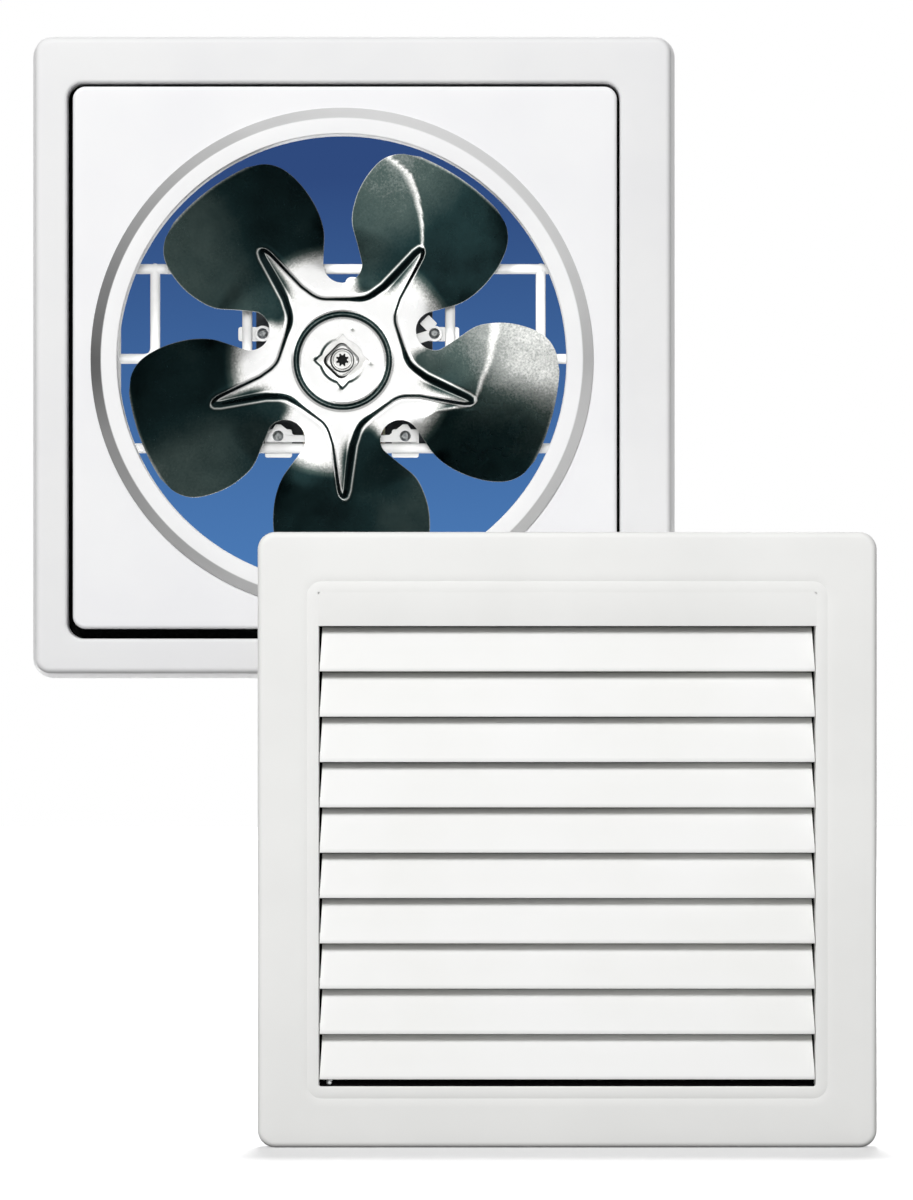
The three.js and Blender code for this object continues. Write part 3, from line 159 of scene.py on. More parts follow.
def filleted(corners, steps=6):  # (x, y, radius) corners to a polyline with round corners
    line = []
    for i, (x, y, radius) in enumerate(corners):
        if radius == 0 or i in (0, len(corners) - 1):
            line.append((x, y))
            continue
        corner = Vector((x, y))
        before = (Vector(corners[i - 1][:2]) - corner).normalized()
        after = (Vector(corners[i + 1][:2]) - corner).normalized()
        half = before.angle(after) / 2
        centre = corner + (before + after).normalized() * (radius / math.sin(half))
        start = corner + before * (radius / math.tan(half)) - centre
        end = corner + after * (radius / math.tan(half)) - centre
        first = math.atan2(start.y, start.x)
        sweep = (math.atan2(end.y, end.x) - first + math.pi) % (2 * math.pi) - math.pi
        for k in range(steps + 1):
            angle = first + sweep * k / steps
            line.append((centre.x + radius * math.cos(angle), centre.y + radius * math.sin(angle)))
    return line


def rectangleLoop(width, height, radius, centre, y, steps=8):
    loop = []
    for quarter, (sx, sz) in enumerate([(1, 1), (-1, 1), (-1, -1), (1, -1)]):
        for i in range(steps + 1):
            angle = (quarter + i / steps) * math.pi / 2
            loop.append((
                centre[0] + sx * (width / 2 - radius) + radius * math.cos(angle),
                y,
                centre[1] + sz * (height / 2 - radius) + radius * math.sin(angle),
            ))
    return loop


def rectangleRings(rectangle, profile, steps=8):  # profile: (growth of the rectangle, y) points
    width, height, radius, centre = rectangle
    return [
        rectangleLoop(width + 2 * by, height + 2 * by, max(radius + by, 0.05), centre, y, steps)
        for by, y in profile
    ]


def loft(name, loops, closed=True):
    size, faces = len(loops[0]), []
    for i in range(len(loops) - (0 if closed else 1)):
        a, b = i * size, (i + 1) % len(loops) * size
        faces += [(a + j, a + (j + 1) % size, b + (j + 1) % size, b + j) for j in range(size)]
    return meshObject(name, np.concatenate(loops), faces)


def revolved(name, profile, steps=64, closed=False):  # (radius, y) round the Y axis
    angles = np.arange(steps) * 2 * math.pi / steps
    loops = [
        np.column_stack([r * np.cos(angles), np.full(steps, y), r * np.sin(angles)])
        for r, y in profile
    ]
    return loft(name, loops, closed)


def plate(name, outlines, holes, frontY, rearY, edge=0.25):  # union of outlines in X and Z, less the holes
    points, loops = [], []
    for outline in (*outlines, *holes):
        rows = np.asarray(outline, float)
        area = np.dot(rows[:, 0], np.roll(rows[:, 1], -1)) - np.dot(rows[:, 1], np.roll(rows[:, 0], -1))
        rows = rows if area > 0 else rows[::-1]
        loops.append(list(range(len(points), len(points) + len(rows))))
        points += [Vector(row) for row in rows]
    found, _, faces, *_ = delaunay_2d_cdt(points, [], loops, 1, 1e-4)
    work = bmesh.new()
    verts = [work.verts.new((p.x * mm, frontY * mm, p.y * mm)) for p in found]
    middles = np.array([sum((found[i] for i in face), Vector((0, 0))) / len(face) for face in faces])
    kept = np.ones(len(faces), bool)
    for hole in holes:
        kept &= signedDistance(np.asarray(hole), middles[:, 0], middles[:, 1]) > 0
    for face in (f for f, keep in zip(faces, kept) if keep):
        work.faces.new([verts[i] for i in face])
    bmesh.ops.delete(work, geom=[v for v in work.verts if not v.link_faces], context="VERTS")
    bmesh.ops.dissolve_limit(work, angle_limit=0.02, verts=work.verts, edges=work.edges)
    rear = bmesh.ops.extrude_face_region(work, geom=work.faces[:])["geom"]
    bmesh.ops.translate(work, vec=(0, (rearY - frontY) * mm, 0),
                        verts=[v for v in rear if isinstance(v, bmesh.types.BMVert)])
    bmesh.ops.recalc_face_normals(work, faces=work.faces)
    rims = [e for e in work.edges if e.calc_face_angle(0) > 1.2 and abs(e.verts[0].co.y - e.verts[1].co.y) < 1e-6]
    bmesh.ops.bevel(work, geom=rims, offset=edge * mm, segments=2, profile=0.5, affect="EDGES")
    mesh = bpy.data.meshes.new(name)
    work.to_mesh(mesh)
    work.free()
    cleanMesh(mesh, 40)
    return linked(name, mesh)


def cut(obj, tool):  # the exact difference of two closed solids
    modifier = obj.modifiers.new("cut", "BOOLEAN")
    modifier.object, modifier.operation, modifier.solver = tool, "DIFFERENCE", "EXACT"
    made = evaluated(obj, obj.name)
    bpy.data.objects.remove(tool)
    return made


def closedFillet(corners, radius, steps=6):  # a closed outline; a corner may bring its own radius
    first, last = corners[0], corners[-1]
    start = ((first[0] + last[0]) / 2, (first[1] + last[1]) / 2)
    ring = [(*start, 0)] + [(x, z, *(own or [radius])) for x, z, *own in corners] + [(*start, 0)]
    return filleted(ring, steps)[:-1]


def roundedBox(x0, x1, z0, z1, radius):
    return closedFillet([(x1, z0), (x1, z1), (x0, z1), (x0, z0)], radius)


def rod(name, radius, y0, y1):  # a round bar on the Y axis
    return revolved(name, [(0, y0), (radius, y0), (radius, y1), (0, y1)], 32)


def shifted(obj, x, y, z):
    return moved(obj, Matrix.Translation((x * mm, y * mm, z * mm)))


def polar(radius, degrees):  # x and z of a point round the axis
    return radius * math.cos(math.radians(degrees)), radius * math.sin(math.radians(degrees))


def circle(x, z, radius, steps=32):
    turn = [i * 2 * math.pi / steps for i in range(steps)]
    return [(x + radius * math.cos(a), z + radius * math.sin(a)) for a in turn]


def bentRoute(points, radius, steps=8):  # a 3-D polyline with its corners rounded
    route = [Vector(points[0])]
    for before, corner, after in zip(points, points[1:], points[2:]):
        corner = Vector(corner)
        back = (Vector(before) - corner).normalized() * radius
        on = (Vector(after) - corner).normalized() * radius
        for k in range(steps + 1):
            t = k / steps
            route.append(corner + back * (1 - t) ** 2 + on * t ** 2)
    route.append(Vector(points[-1]))
    return route


def wires(name, routes, radius, roundness=5):
    curve = bpy.data.curves.new(name, "CURVE")
    curve.dimensions = "3D"
    curve.bevel_depth, curve.bevel_resolution, curve.use_fill_caps = radius * mm, roundness, True
    for route in routes:
        spline = curve.splines.new("POLY")
        spline.points.add(len(route) - 1)
        for point, place in zip(spline.points, route):
            point.co = (*(Vector(place) * mm), 1)
    return evaluated(linked(name, curve), name, 50)


def smoothStep(start, end, value):  # 0 at the start, 1 at the end, eased
    t = np.clip((value - start) / (end - start), 0, 1)
    return t * t * (3 - 2 * t)


# helpers: geometry nodes

def nodeGroup(name, inputs):  # inputs: (name, socket type, default)
    tree = bpy.data.node_groups.new(name, "GeometryNodeTree")
    tree.interface.new_socket("Geometry", in_out="OUTPUT", socket_type="NodeSocketGeometry")
    tree.interface.new_socket("Geometry", in_out="INPUT", socket_type="NodeSocketGeometry")
    for label, kind, default in inputs:
        socket = tree.interface.new_socket(label, in_out="INPUT", socket_type=kind)
        if default is not None:
            socket.default_value = default
    return tree, addNode(tree, "NodeGroupInput").outputs


def finishGroup(tree, geometry, material):  # every tree ends realised, with its material
    real = addNode(tree, "GeometryNodeRealizeInstances", None, {"Geometry": geometry})
    dressed = addNode(tree, "GeometryNodeSetMaterial", None, {"Geometry": real.outputs[0], "Material": material})
    addNode(tree, "NodeGroupOutput", None, {"Geometry": dressed.outputs[0]})
    return tree


def runNodes(name, tree, base, values):  # base: points with their attributes, in mm
    mesh = bpy.data.meshes.new(name + "Base")
    mesh.from_pydata((np.asarray(base["points"], float).reshape(-1, 3) * mm).tolist(), [], [])
    for label, rows in base.get("vectors", {}).items():
        layer = mesh.attributes.new(label, "FLOAT_VECTOR", "POINT")
        layer.data.foreach_set("vector", np.asarray(rows, np.float32).ravel())
    obj = linked(name, mesh)
    modifier = obj.modifiers.new("nodes", "NODES")
    modifier.node_group = tree
    for item in tree.interface.items_tree:
        if item.in_out == "INPUT" and item.name in values:
            modifier[item.identifier] = values[item.name]
    return evaluated(obj, name)


def copiesTree():  # one piece set at each point, turned by the point's own angles
    tree, given = nodeGroup("copiesAtPoints", [
        ("Piece", "NodeSocketObject", None),
        ("Material", "NodeSocketMaterial", None),
    ])
    piece = addNode(tree, "GeometryNodeObjectInfo", None, {"Object": given["Piece"]})
    turn = addNode(tree, "GeometryNodeInputNamedAttribute", {"data_type": "FLOAT_VECTOR"}, {"Name": "turn"})
    copies = addNode(tree, "GeometryNodeInstanceOnPoints", None, {
        "Points": given["Geometry"],
        "Instance": piece.outputs["Geometry"],
        "Rotation": turn.outputs["Attribute"],
    })
    return finishGroup(tree, copies.outputs[0], given["Material"])


def copiesAt(name, tree, piece, look, places, turns=None):
    turns = turns or [(0, 0, 0)] * len(places)
    made = runNodes(name, tree, {"points": places, "vectors": {"turn": turns}},
                    {"Piece": piece, "Material": materials[look]})
    bpy.data.objects.remove(piece)
    return made


# materials: each starts from what the real one is

def newMaterial(name, metallic, roughness, tones, cloud, grain, depth, inputs=None, more=None):
    # tones that drift in clouds over a fine grain in relief; tones are two colours or a ramp's stops, a pattern
    # is (size in mm, detail, stretch), and "more" holds those that the material's own function goes on with
    made = bpy.data.materials.new(name)
    made.use_nodes = True
    tree = made.node_tree
    shader = tree.nodes["Principled BSDF"]
    for key, value in {"Metallic": metallic, "Roughness": roughness, **(inputs or {})}.items():
        shader.inputs[key].default_value = value
    place = addNode(tree, "ShaderNodeTexCoord", {"name": "place"}).outputs["Object"]
    for label, (size, detail, *stretch) in {"cloud": cloud, "grain": grain, **(more or {})}.items():
        where = place
        if stretch:
            where = addNode(tree, "ShaderNodeMapping", None, {"Vector": place, "Scale": stretch[0]}).outputs[0]
        addNode(tree, "ShaderNodeTexNoise", {"name": label},
                {"Vector": where, "Scale": perMetre(size), "Detail": detail})
    stops = tones if len(tones) > 2 else list(zip((0.35, 0.65), tones))
    tone = addNode(tree, "ShaderNodeValToRGB", {"name": "tone", "stops": stops},
                   {"Fac": tree.nodes["cloud"].outputs["Fac"]})
    relief = addNode(tree, "ShaderNodeBump", {"name": "relief"}, {
        "Height": tree.nodes["grain"].outputs["Fac"], "Distance": depth * mm, "Strength": 1.0,
    })
    tree.links.new(tone.outputs["Color"], shader.inputs["Base Color"])
    tree.links.new(relief.outputs["Normal"], shader.inputs["Normal"])
    return made


def opened(made):  # a material's tree, shader and coordinates
    tree = made.node_tree
    return tree, tree.nodes["Principled BSDF"], tree.nodes["place"].outputs["Object"]


def mouldedPlastic(name, pale, deep, roughness, more=None):
    # injection-moulded ABS: an even gloss over a faint spark-eroded grain, with slow clouding from the flow
    return newMaterial(name, 0, roughness, (deep, pale), (60, 3.0), (0.6, 2), 0.006, {"IOR": 1.52}, more)


# painted shade on the throat ring's outer slope: where the grey band lies, its ramp, and how it runs round
throatShade = {"radius": (113.5, 114.1), "frontY": (-27.2, -27.6), "stops": ((0.1, "#5c5c5c"), (1, "#d0d0d0")),
              "spread": (-36.0, 58.0), "toTheRight": 0.3, "upAndDown": 0.4, "clouding": 0.16}


def throatPlastic():  # the same white ABS, with painted shade in a grey band on the outer slope: dark left, pale above and below
    s = throatShade
    made = mouldedPlastic("whiteAbsThroat", "#fafafa", "#f4f4f5", 0.28, {"haze": (30, 2)})
    tree, shader, place = opened(made)
    flat = addNode(tree, "ShaderNodeVectorMath", {"operation": "MULTIPLY"}, {0: place, 1: (1000, 0, 1000)}).outputs[0]
    radius = addNode(tree, "ShaderNodeVectorMath", {"operation": "LENGTH"}, {0: flat}).outputs["Value"]
    band = addNode(tree, "ShaderNodeMapRange", None, {
        "Value": radius, "From Min": s["radius"][0], "From Max": s["radius"][1],
    })
    front = addNode(tree, "ShaderNodeMapRange", None, {
        "Value": addNode(tree, "ShaderNodeSeparateXYZ", None, {"Vector": place}).outputs["Y"],
        "From Min": s["frontY"][0] * mm, "From Max": s["frontY"][1] * mm,
    })
    where = addNode(tree, "ShaderNodeMath", {"operation": "MULTIPLY"}, {0: band.outputs[0], 1: front.outputs[0]})
    upright = addNode(tree, "ShaderNodeVectorMath", {"operation": "ABSOLUTE"}, {0: flat})
    ways = [addNode(tree, "ShaderNodeVectorMath", {"operation": "DOT_PRODUCT"}, {0: vector, 1: weights})
            for vector, weights in ((flat, (s["toTheRight"], 0, 0)), (upright.outputs[0], (0, 0, s["upAndDown"])))]
    way = addNode(tree, "ShaderNodeMath", {"operation": "ADD"},
                  {i: part.outputs["Value"] for i, part in enumerate(ways)})
    share = addNode(tree, "ShaderNodeMapRange", None, {
        "Value": way.outputs[0], "From Min": s["spread"][0], "From Max": s["spread"][1],
    })
    cloudy = addNode(tree, "ShaderNodeMath", {"operation": "MULTIPLY_ADD"},
                     {0: tree.nodes["haze"].outputs["Fac"], 1: s["clouding"], 2: share.outputs[0]})
    bandShade = addNode(tree, "ShaderNodeValToRGB", {"stops": s["stops"]}, {"Fac": cloudy.outputs[0]})
    both = addNode(tree, "ShaderNodeMix", {"data_type": "RGBA"}, {
        0: where.outputs[0], 6: tree.nodes["tone"].outputs["Color"], 7: bandShade.outputs["Color"],
    })
    tree.links.new(both.outputs[2], shader.inputs["Base Color"])
    return made


# painted shadow under each slat's lip: where it starts and fades, in mm below the pins, and its grey ramp
slatLipShadow = {"drop": (2.0, 7.0), "stops": ((0, "#ffffff"), (0.12, "#2b2b2a"), (0.28, "#4a4a48"), (0.36, "#b4b4b2"),
                                          (0.68, "#eeeeec"), (1, "#ffffff"))}


def slatPlastic():  # the slats' white ABS, with a painted shadow: a grey line where the next slat's lip touches it
    made = mouldedPlastic("whiteAbsSlat", "#fafaf9", "#f7f7f5", 0.38)
    tree, shader, _ = opened(made)
    drop = addNode(tree, "ShaderNodeAttribute", {"attribute_name": "drop"}).outputs["Fac"]
    first, last = slatLipShadow["drop"]
    share = addNode(tree, "ShaderNodeMapRange", None, {"Value": drop, "From Min": first, "From Max": last})
    lipShadow = addNode(tree, "ShaderNodeValToRGB", {"stops": slatLipShadow["stops"]}, {"Fac": share.outputs[0]})
    both = addNode(tree, "ShaderNodeMix", {"data_type": "RGBA", "blend_type": "MULTIPLY"},
                   {0: 1.0, 6: tree.nodes["tone"].outputs["Color"], 7: lipShadow.outputs["Color"]})
    tree.links.new(both.outputs[2], shader.inputs["Base Color"])
    return made


pressedSheet = {  # pairs run from low to high
    # how much the painted shade of a die line darkens, and its painted highlight lights, the sheet, 0.5 changing
    # nothing:
    # by the distance in mm outwards from the star's edge, and by the radius across the hub's groove
    "star": ((-3, 0.5), (-1.75, 0.5), (-1.3, 0.72), (-0.95, 0.5), (-0.7, 0.04), (0.55, 0.04), (0.95, 0.5),
             (1.4, 0.86), (1.95, 0.5), (3, 0.5)),
    "groove": ((19, 0.5), (20.3, 0.5), (20.6, 0.35), (20.9, 0.02), (21.9, 0.02), (22.15, 0.22), (22.4, 0.02),
               (23.3, 0.02), (23.6, 0.45), (23.9, 0.6), (24.4, 0.5), (26, 0.5)),
    "tones": ((0, "#0f1819"), (0.14, "#1b2d2e"), (0.34, "#43514e"), (0.6, "#9ea19e"), (0.85, "#ecece9"),
              (1, "#fbfbfa")),
    "specks": (0.1, 0.4), "clouding": 0.34, "scratch": 0.14, "roughness": (0.17, 0.32), "relief": 0.03,
}


def brightPressedSheet():
    # cold-pressed bright sheet, its tones a painted reflection: almost white on the flat star, dark green-black on
    # the blades, with a grainy border between, painted shade as black die lines with painted highlights beside
    # them, and fine handling scratches
    s = pressedSheet
    made = newMaterial("brightPressedSheet", 1, 0.2, s["tones"], (30, 4), (24, 2), 0.4, None, {
        "speck": (1.0, 4), "streak": (3, 3, (14, 1, 0.35)), "haze": (9, 5), "fine": (1.1, 3),
    })
    tree, shader, place = opened(made)
    cloud, swell, speck, streak, haze, fine = [
        tree.nodes[label].outputs["Fac"] for label in ("cloud", "grain", "speck", "streak", "haze", "fine")
    ]
    tone, starEdge = [addNode(tree, "ShaderNodeAttribute", {"attribute_name": name}).outputs["Fac"]
                      for name in ("tone", "starEdge")]
    reach = addNode(tree, "ShaderNodeVectorMath", {"operation": "MULTIPLY"}, {0: place, 1: (1000, 0, 1000)})
    radius = addNode(tree, "ShaderNodeVectorMath", {"operation": "LENGTH"}, {0: reach.outputs[0]}).outputs["Value"]
    lines = []
    for along, stops in ((starEdge, s["star"]), (radius, s["groove"])):
        first, last = stops[0][0], stops[-1][0]
        share = addNode(tree, "ShaderNodeMapRange", None, {"Value": along, "From Min": first, "From Max": last})
        ramp = addNode(tree, "ShaderNodeValToRGB",
                       {"stops": [((at - first) / (last - first), level) for at, level in stops]},
                       {"Fac": share.outputs[0]})
        lines.append(ramp.outputs["Color"])
    both = addNode(tree, "ShaderNodeMath", {"operation": "ADD"}, {0: lines[0], 1: lines[1]})
    change = addNode(tree, "ShaderNodeMath", {"operation": "MULTIPLY_ADD"}, {0: both.outputs[0], 1: 2.0, 2: -2.0})
    middle = addNode(tree, "ShaderNodeMapRange", {"interpolation_type": "SMOOTHSTEP"}, {
        "Value": tone, "From Min": 0.1, "From Max": 0.7, "To Min": s["specks"][0], "To Max": s["specks"][1],
    })
    level = tone
    for pattern, weight in ((speck, middle.outputs[0]), (cloud, s["clouding"])):
        swing = addNode(tree, "ShaderNodeMath", {"operation": "SUBTRACT"}, {0: pattern, 1: 0.5})
        level = addNode(tree, "ShaderNodeMath", {"operation": "MULTIPLY_ADD"},
                        {0: swing.outputs[0], 1: weight, 2: level}).outputs[0]
    scratch = addNode(tree, "ShaderNodeMapRange", None, {
        "Value": streak, "From Min": 0.68, "From Max": 0.8, "To Max": s["scratch"],
    })
    marked = addNode(tree, "ShaderNodeMath", {"operation": "ADD"}, {0: level, 1: scratch.outputs[0]})
    final = addNode(tree, "ShaderNodeMath", {"operation": "ADD", "use_clamp": True},
                    {0: marked.outputs[0], 1: change.outputs[0]})
    tree.links.new(final.outputs[0], tree.nodes["tone"].inputs["Fac"])
    rough = addNode(tree, "ShaderNodeMapRange", None, {
        "Value": haze, "From Min": 0.3, "From Max": 0.7, "To Min": s["roughness"][0], "To Max": s["roughness"][1],
    })
    tree.links.new(rough.outputs[0], shader.inputs["Roughness"])
    relief = addNode(tree, "ShaderNodeMath", {"operation": "MULTIPLY_ADD"}, {0: fine, 1: s["relief"], 2: swell})
    tree.links.new(relief.outputs[0], tree.nodes["relief"].inputs["Height"])
    return made


def electricalSteel():
    # stacked laminations: dark blued edges with the odd oil stain; the sheets, 0.65 mm in the real core, are
    # drawn in bands of 4.1 mm, because finer ones don't show
    made = newMaterial("electricalSteel", 0.85, 0.5, ("#34373b", "#5a5d60"), (9, 4), (0.65, 2), 0.12)
    tree, _, place = opened(made)
    stack = addNode(tree, "ShaderNodeTexWave", {"bands_direction": "Y"}, {
        "Vector": place, "Scale": perMetre(13), "Distortion": 0.4, "Detail": 2.0,
    })
    tree.links.new(stack.outputs["Fac"], tree.nodes["relief"].inputs["Height"])
    tree.nodes.remove(tree.nodes["grain"])
    return made


materials = {
    "casing": mouldedPlastic("whiteAbsCasing", "#efefef", "#ebebec", 0.3),
    "panel": mouldedPlastic("whiteAbsPanel", "#f7f7f8", "#f3f3f5", 0.26),
    "throat": throatPlastic(),
    "louvreCasing": mouldedPlastic("whiteAbsLouvre", "#f6f6f4", "#f2f2f0", 0.4),
    "slat": slatPlastic(),
    "tie": mouldedPlastic("whiteAbsTieBar", "#f7f7f4", "#f3f3f0", 0.38),
    "pressed": brightPressedSheet(),
    "lamination": electricalSteel(),
    # painted shade: black, with no sheen and a coarse pitted face, like open-cell foam
    "paintedShade": newMaterial("blackFoam", 0, 1, ("#070707", "#141414"), (1.2, 2), (0.8, 2), 0.2,
                        {"Specular IOR Level": 0.0}),
    # electrostatic white powder on drawn wire: glossy, with a soft orange peel
    "wire": newMaterial("powderCoatedWire", 0, 0.24, ("#f0f0ee", "#fafaf9"), (14, 3.0), (1.4, 2), 0.02,
                        {"IOR": 1.5, "Coat Weight": 0.3}),
    # the same coat on pressed sheet, a little flatter
    "sheet": newMaterial("powderCoatedSheet", 0, 0.33, ("#eeeeec", "#f8f8f7"), (22, 3.0), (1.6, 2), 0.018,
                         {"IOR": 1.5}),
    # turned and ground bar: fine rings of tool marks round its axis
    "bright": newMaterial("groundSteel", 1, 0.22, ("#b3b6b6", "#d9dbda"), (5, 3.0), (0.5, 2, (1, 6, 1)), 0.01),
    # bright nickel on turned brass: warm white and nearly a mirror
    "nickel": newMaterial("nickelPlated", 1, 0.14, ("#e4e3e0", "#fafaf8"), (7, 3.0), (1.6, 2), 0.012),
    # zinc on small screws: grey-blue, satin, spotted
    "zinc": newMaterial("zincPlatedSteel", 1, 0.34, ("#8f9496", "#c2c5c4"), (1.5, 5), (0.5, 2), 0.02),
    # pressure die-cast zinc: matt skin with a fine pebble
    "cast": newMaterial("castZinc", 1, 0.5, ("#7d8184", "#a3a6a7"), (4, 4), (0.7, 3), 0.05),
    # varnished winding wire: red-brown metal under a clear skin
    "copper": newMaterial("enamelledCopper", 0.9, 0.3, ("#7c3d1d", "#a9592c"), (6, 3), (0.9, 2), 0.03,
                          {"Coat Weight": 0.6, "Coat Roughness": 0.15}),
    # natural nylon: warm ivory with a waxy depth
    "bobbin": newMaterial("bobbinNylon", 0, 0.45, ("#d8cdb2", "#e9e0c9"), (8, 3.0), (0.8, 2), 0.02,
                          {"IOR": 1.53, "Subsurface Weight": 0.15, "Subsurface Scale": 1 * mm}),
    # porous oil-filled bearing bronze: dull gold with dark pores
    "bronze": newMaterial("sinteredBronze", 1, 0.42, ("#6f5226", "#b08a4c"), (0.6, 4), (0.5, 3), 0.03),
    # glass-filled black nylon: charcoal, with a dry fibrous grain
    "black": newMaterial("blackNylon", 0, 0.48, ("#1d1f21", "#303336"), (3, 4), (0.6, 3), 0.03, {"IOR": 1.53}),
    # painted shadow: nearly black, with a dull uneven skin
    "paintedShadow": newMaterial("blackGrease", 0, 0.6, ("#0c0d0d", "#1e2020"), (1.5, 3), (0.5, 2), 0.02,
                          {"Specular IOR Level": 0.15}),
}
print("materials made:", len(materials))


# the stage

camera = {"place": (0.0541, -3.045, -0.1138), "azimuth": 0, "elevation": 0, "lens": 191.6}
studio = {
    "fill": 0.61, "sideFill": 0.12,  # the world's own light, and the share of it that comes from the sides
    "brightCone": 28, "darkCone": 44, "sideLevel": 0.42, "behind": (-0.25, -0.6),  # what polished metal sees
    "floorReach": 4000, "floorFade": (0.45, 1.1), "floorGlow": 0.44,
    "floorThrows": "#3c3c3c", "floorShows": "#a9a9a9",
    "aim": (0.05, 0, -0.1),
    "lamps": {  # place, width in metres, power
        "key": ((-0.5, -2.4, 1.2), 0.7, 60),
        "throat": ((0, -2.9, 0.1), 0.4, 62),
        "rear": ((0.3, 2.4, 1.3), 1.2, 45),
        "above": ((0.105, 0.9, 4.6), 0.6, 240),
    },
}


def viewDirection():
    azimuth, elevation = math.radians(camera["azimuth"]), math.radians(camera["elevation"])
    return Vector((
        -math.sin(azimuth) * math.cos(elevation),
        math.cos(azimuth) * math.cos(elevation),
        -math.sin(elevation),
    ))


def buildCamera():
    data = bpy.data.cameras.new("camera")
    data.lens, data.sensor_width = camera["lens"], 36
    data.clip_start, data.clip_end = 0.1, 50
    obj = linked("camera", data)
    obj.location = camera["place"]
    obj.rotation_mode = "QUATERNION"
    obj.rotation_quaternion = viewDirection().to_track_quat("-Z", "Y")
    scene.camera = obj


def buildWorld():  # white behind the object; polished metal sees a bright front and dim sides
    world = bpy.data.worlds.new("studio")
    scene.world = world
    world.use_nodes = True
    tree = world.node_tree
    rays = addNode(tree, "ShaderNodeLightPath").outputs
    heading = addNode(tree, "ShaderNodeTexCoord").outputs["Generated"]
    towards = addNode(tree, "ShaderNodeVectorMath", {"operation": "DOT_PRODUCT"},
                      {0: heading, 1: tuple(-viewDirection())})
    front = addNode(tree, "ShaderNodeMapRange", {"interpolation_type": "SMOOTHSTEP"}, {
        "Value": towards.outputs["Value"],
        "From Min": math.cos(math.radians(studio["darkCone"])),
        "From Max": math.cos(math.radians(studio["brightCone"])),
        "To Min": studio["sideLevel"], "To Max": 1.0,
    })
    behind = addNode(tree, "ShaderNodeMapRange", {"interpolation_type": "SMOOTHSTEP"}, {
        "Value": towards.outputs["Value"], "From Min": studio["behind"][0], "From Max": studio["behind"][1],
    })
    glossy = addNode(tree, "ShaderNodeMath", {"operation": "MAXIMUM"}, {0: front.outputs[0], 1: behind.outputs[0]})
    square = addNode(tree, "ShaderNodeMath", {"operation": "POWER"}, {0: towards.outputs["Value"], 1: 2.0})
    soft = addNode(tree, "ShaderNodeMapRange", None, {  # less light from the sides, so that edges read
        "Value": square.outputs[0], "To Min": studio["sideFill"] * studio["fill"], "To Max": studio["fill"],
    })
    lit = addNode(tree, "ShaderNodeMix", {"data_type": "FLOAT"},
                  {0: rays["Is Glossy Ray"], 2: soft.outputs[0], 3: glossy.outputs[0]})
    direct = addNode(tree, "ShaderNodeMath", {"operation": "MAXIMUM"},
                     {0: rays["Is Camera Ray"], 1: rays["Is Transmission Ray"]})
    level = addNode(tree, "ShaderNodeMix", {"data_type": "FLOAT"}, {0: direct.outputs[0], 2: lit.outputs[0], 3: 1.0})
    background = tree.nodes["Background"]
    background.inputs["Color"].default_value = (1, 1, 1, 1)
    tree.links.new(level.outputs[0], background.inputs["Strength"])


def buildLamps():  # a key at the upper left, one behind, and two that light only a part: the throat's depth, the floor
    for name, (place, size, power) in studio["lamps"].items():
        data = bpy.data.lights.new(name, "AREA")
        data.shape, data.size, data.energy = "DISK", size, power
        obj = linked(name, data)
        obj.location = place
        obj.rotation_mode = "QUATERNION"
        obj.rotation_quaternion = (Vector(studio["aim"]) - obj.location).to_track_quat("-Z", "Y")
        obj.visible_glossy = False
        if name == "throat":
            obj.light_linking.receiver_collection = deepPieces
        if name == "above":  # for the shadow on the floor, just in front of the louvred unit
            obj.light_linking.receiver_collection = floorOnly
            obj.light_linking.blocker_collection = louvrePieces


def buildFloor():  # pale floor: white to the camera, with the object's shadow kept
    low = boxOf("louvre_frame")[0][2]
    reach = studio["floorReach"]
    corners = [(-reach, -reach, low), (reach, -reach, low), (reach, reach, low), (-reach, reach, low)]
    obj = meshObject("floor", corners, [(0, 1, 2, 3)])
    made = bpy.data.materials.new("paleFloor")
    made.use_nodes = True
    tree = made.node_tree
    shader = tree.nodes["Principled BSDF"]
    shader.inputs["Roughness"].default_value = 1
    shader.inputs["Specular IOR Level"].default_value = 0
    rays = addNode(tree, "ShaderNodeLightPath").outputs
    seen = addNode(tree, "ShaderNodeMath", {"operation": "MAXIMUM"},
                   {0: rays["Is Camera Ray"], 1: rays["Is Glossy Ray"]})
    seenToo = addNode(tree, "ShaderNodeMath", {"operation": "MAXIMUM"},
                      {0: seen.outputs[0], 1: rays["Is Transmission Ray"]})
    away = addNode(tree, "ShaderNodeVectorMath", {"operation": "LENGTH"},
                   {0: addNode(tree, "ShaderNodeTexCoord").outputs["Object"]})
    level = addNode(tree, "ShaderNodeMapRange", {"interpolation_type": "SMOOTHSTEP"}, {  # plain white further off
        "Value": away.outputs["Value"], "From Min": studio["floorFade"][0], "From Max": studio["floorFade"][1],
        "To Min": studio["floorGlow"],
    })
    glow = addNode(tree, "ShaderNodeMath", {"operation": "MULTIPLY"}, {0: seenToo.outputs[0], 1: level.outputs[0]})
    shader.inputs["Emission Color"].default_value = (1, 1, 1, 1)
    tree.links.new(glow.outputs[0], shader.inputs["Emission Strength"])
    paper = addNode(tree, "ShaderNodeMix", {"data_type": "RGBA"}, {  # throws less light up than it shows
        0: seenToo.outputs[0], 6: linearColour(studio["floorThrows"]), 7: linearColour(studio["floorShows"]),
    })
    tree.links.new(paper.outputs[2], shader.inputs["Base Color"])
    obj.data.materials.append(made)
    floorOnly.objects.link(obj)


card = {"inset": 9, "setback": 1, "tones": ("#4a79b4", "#2f4a7e")}


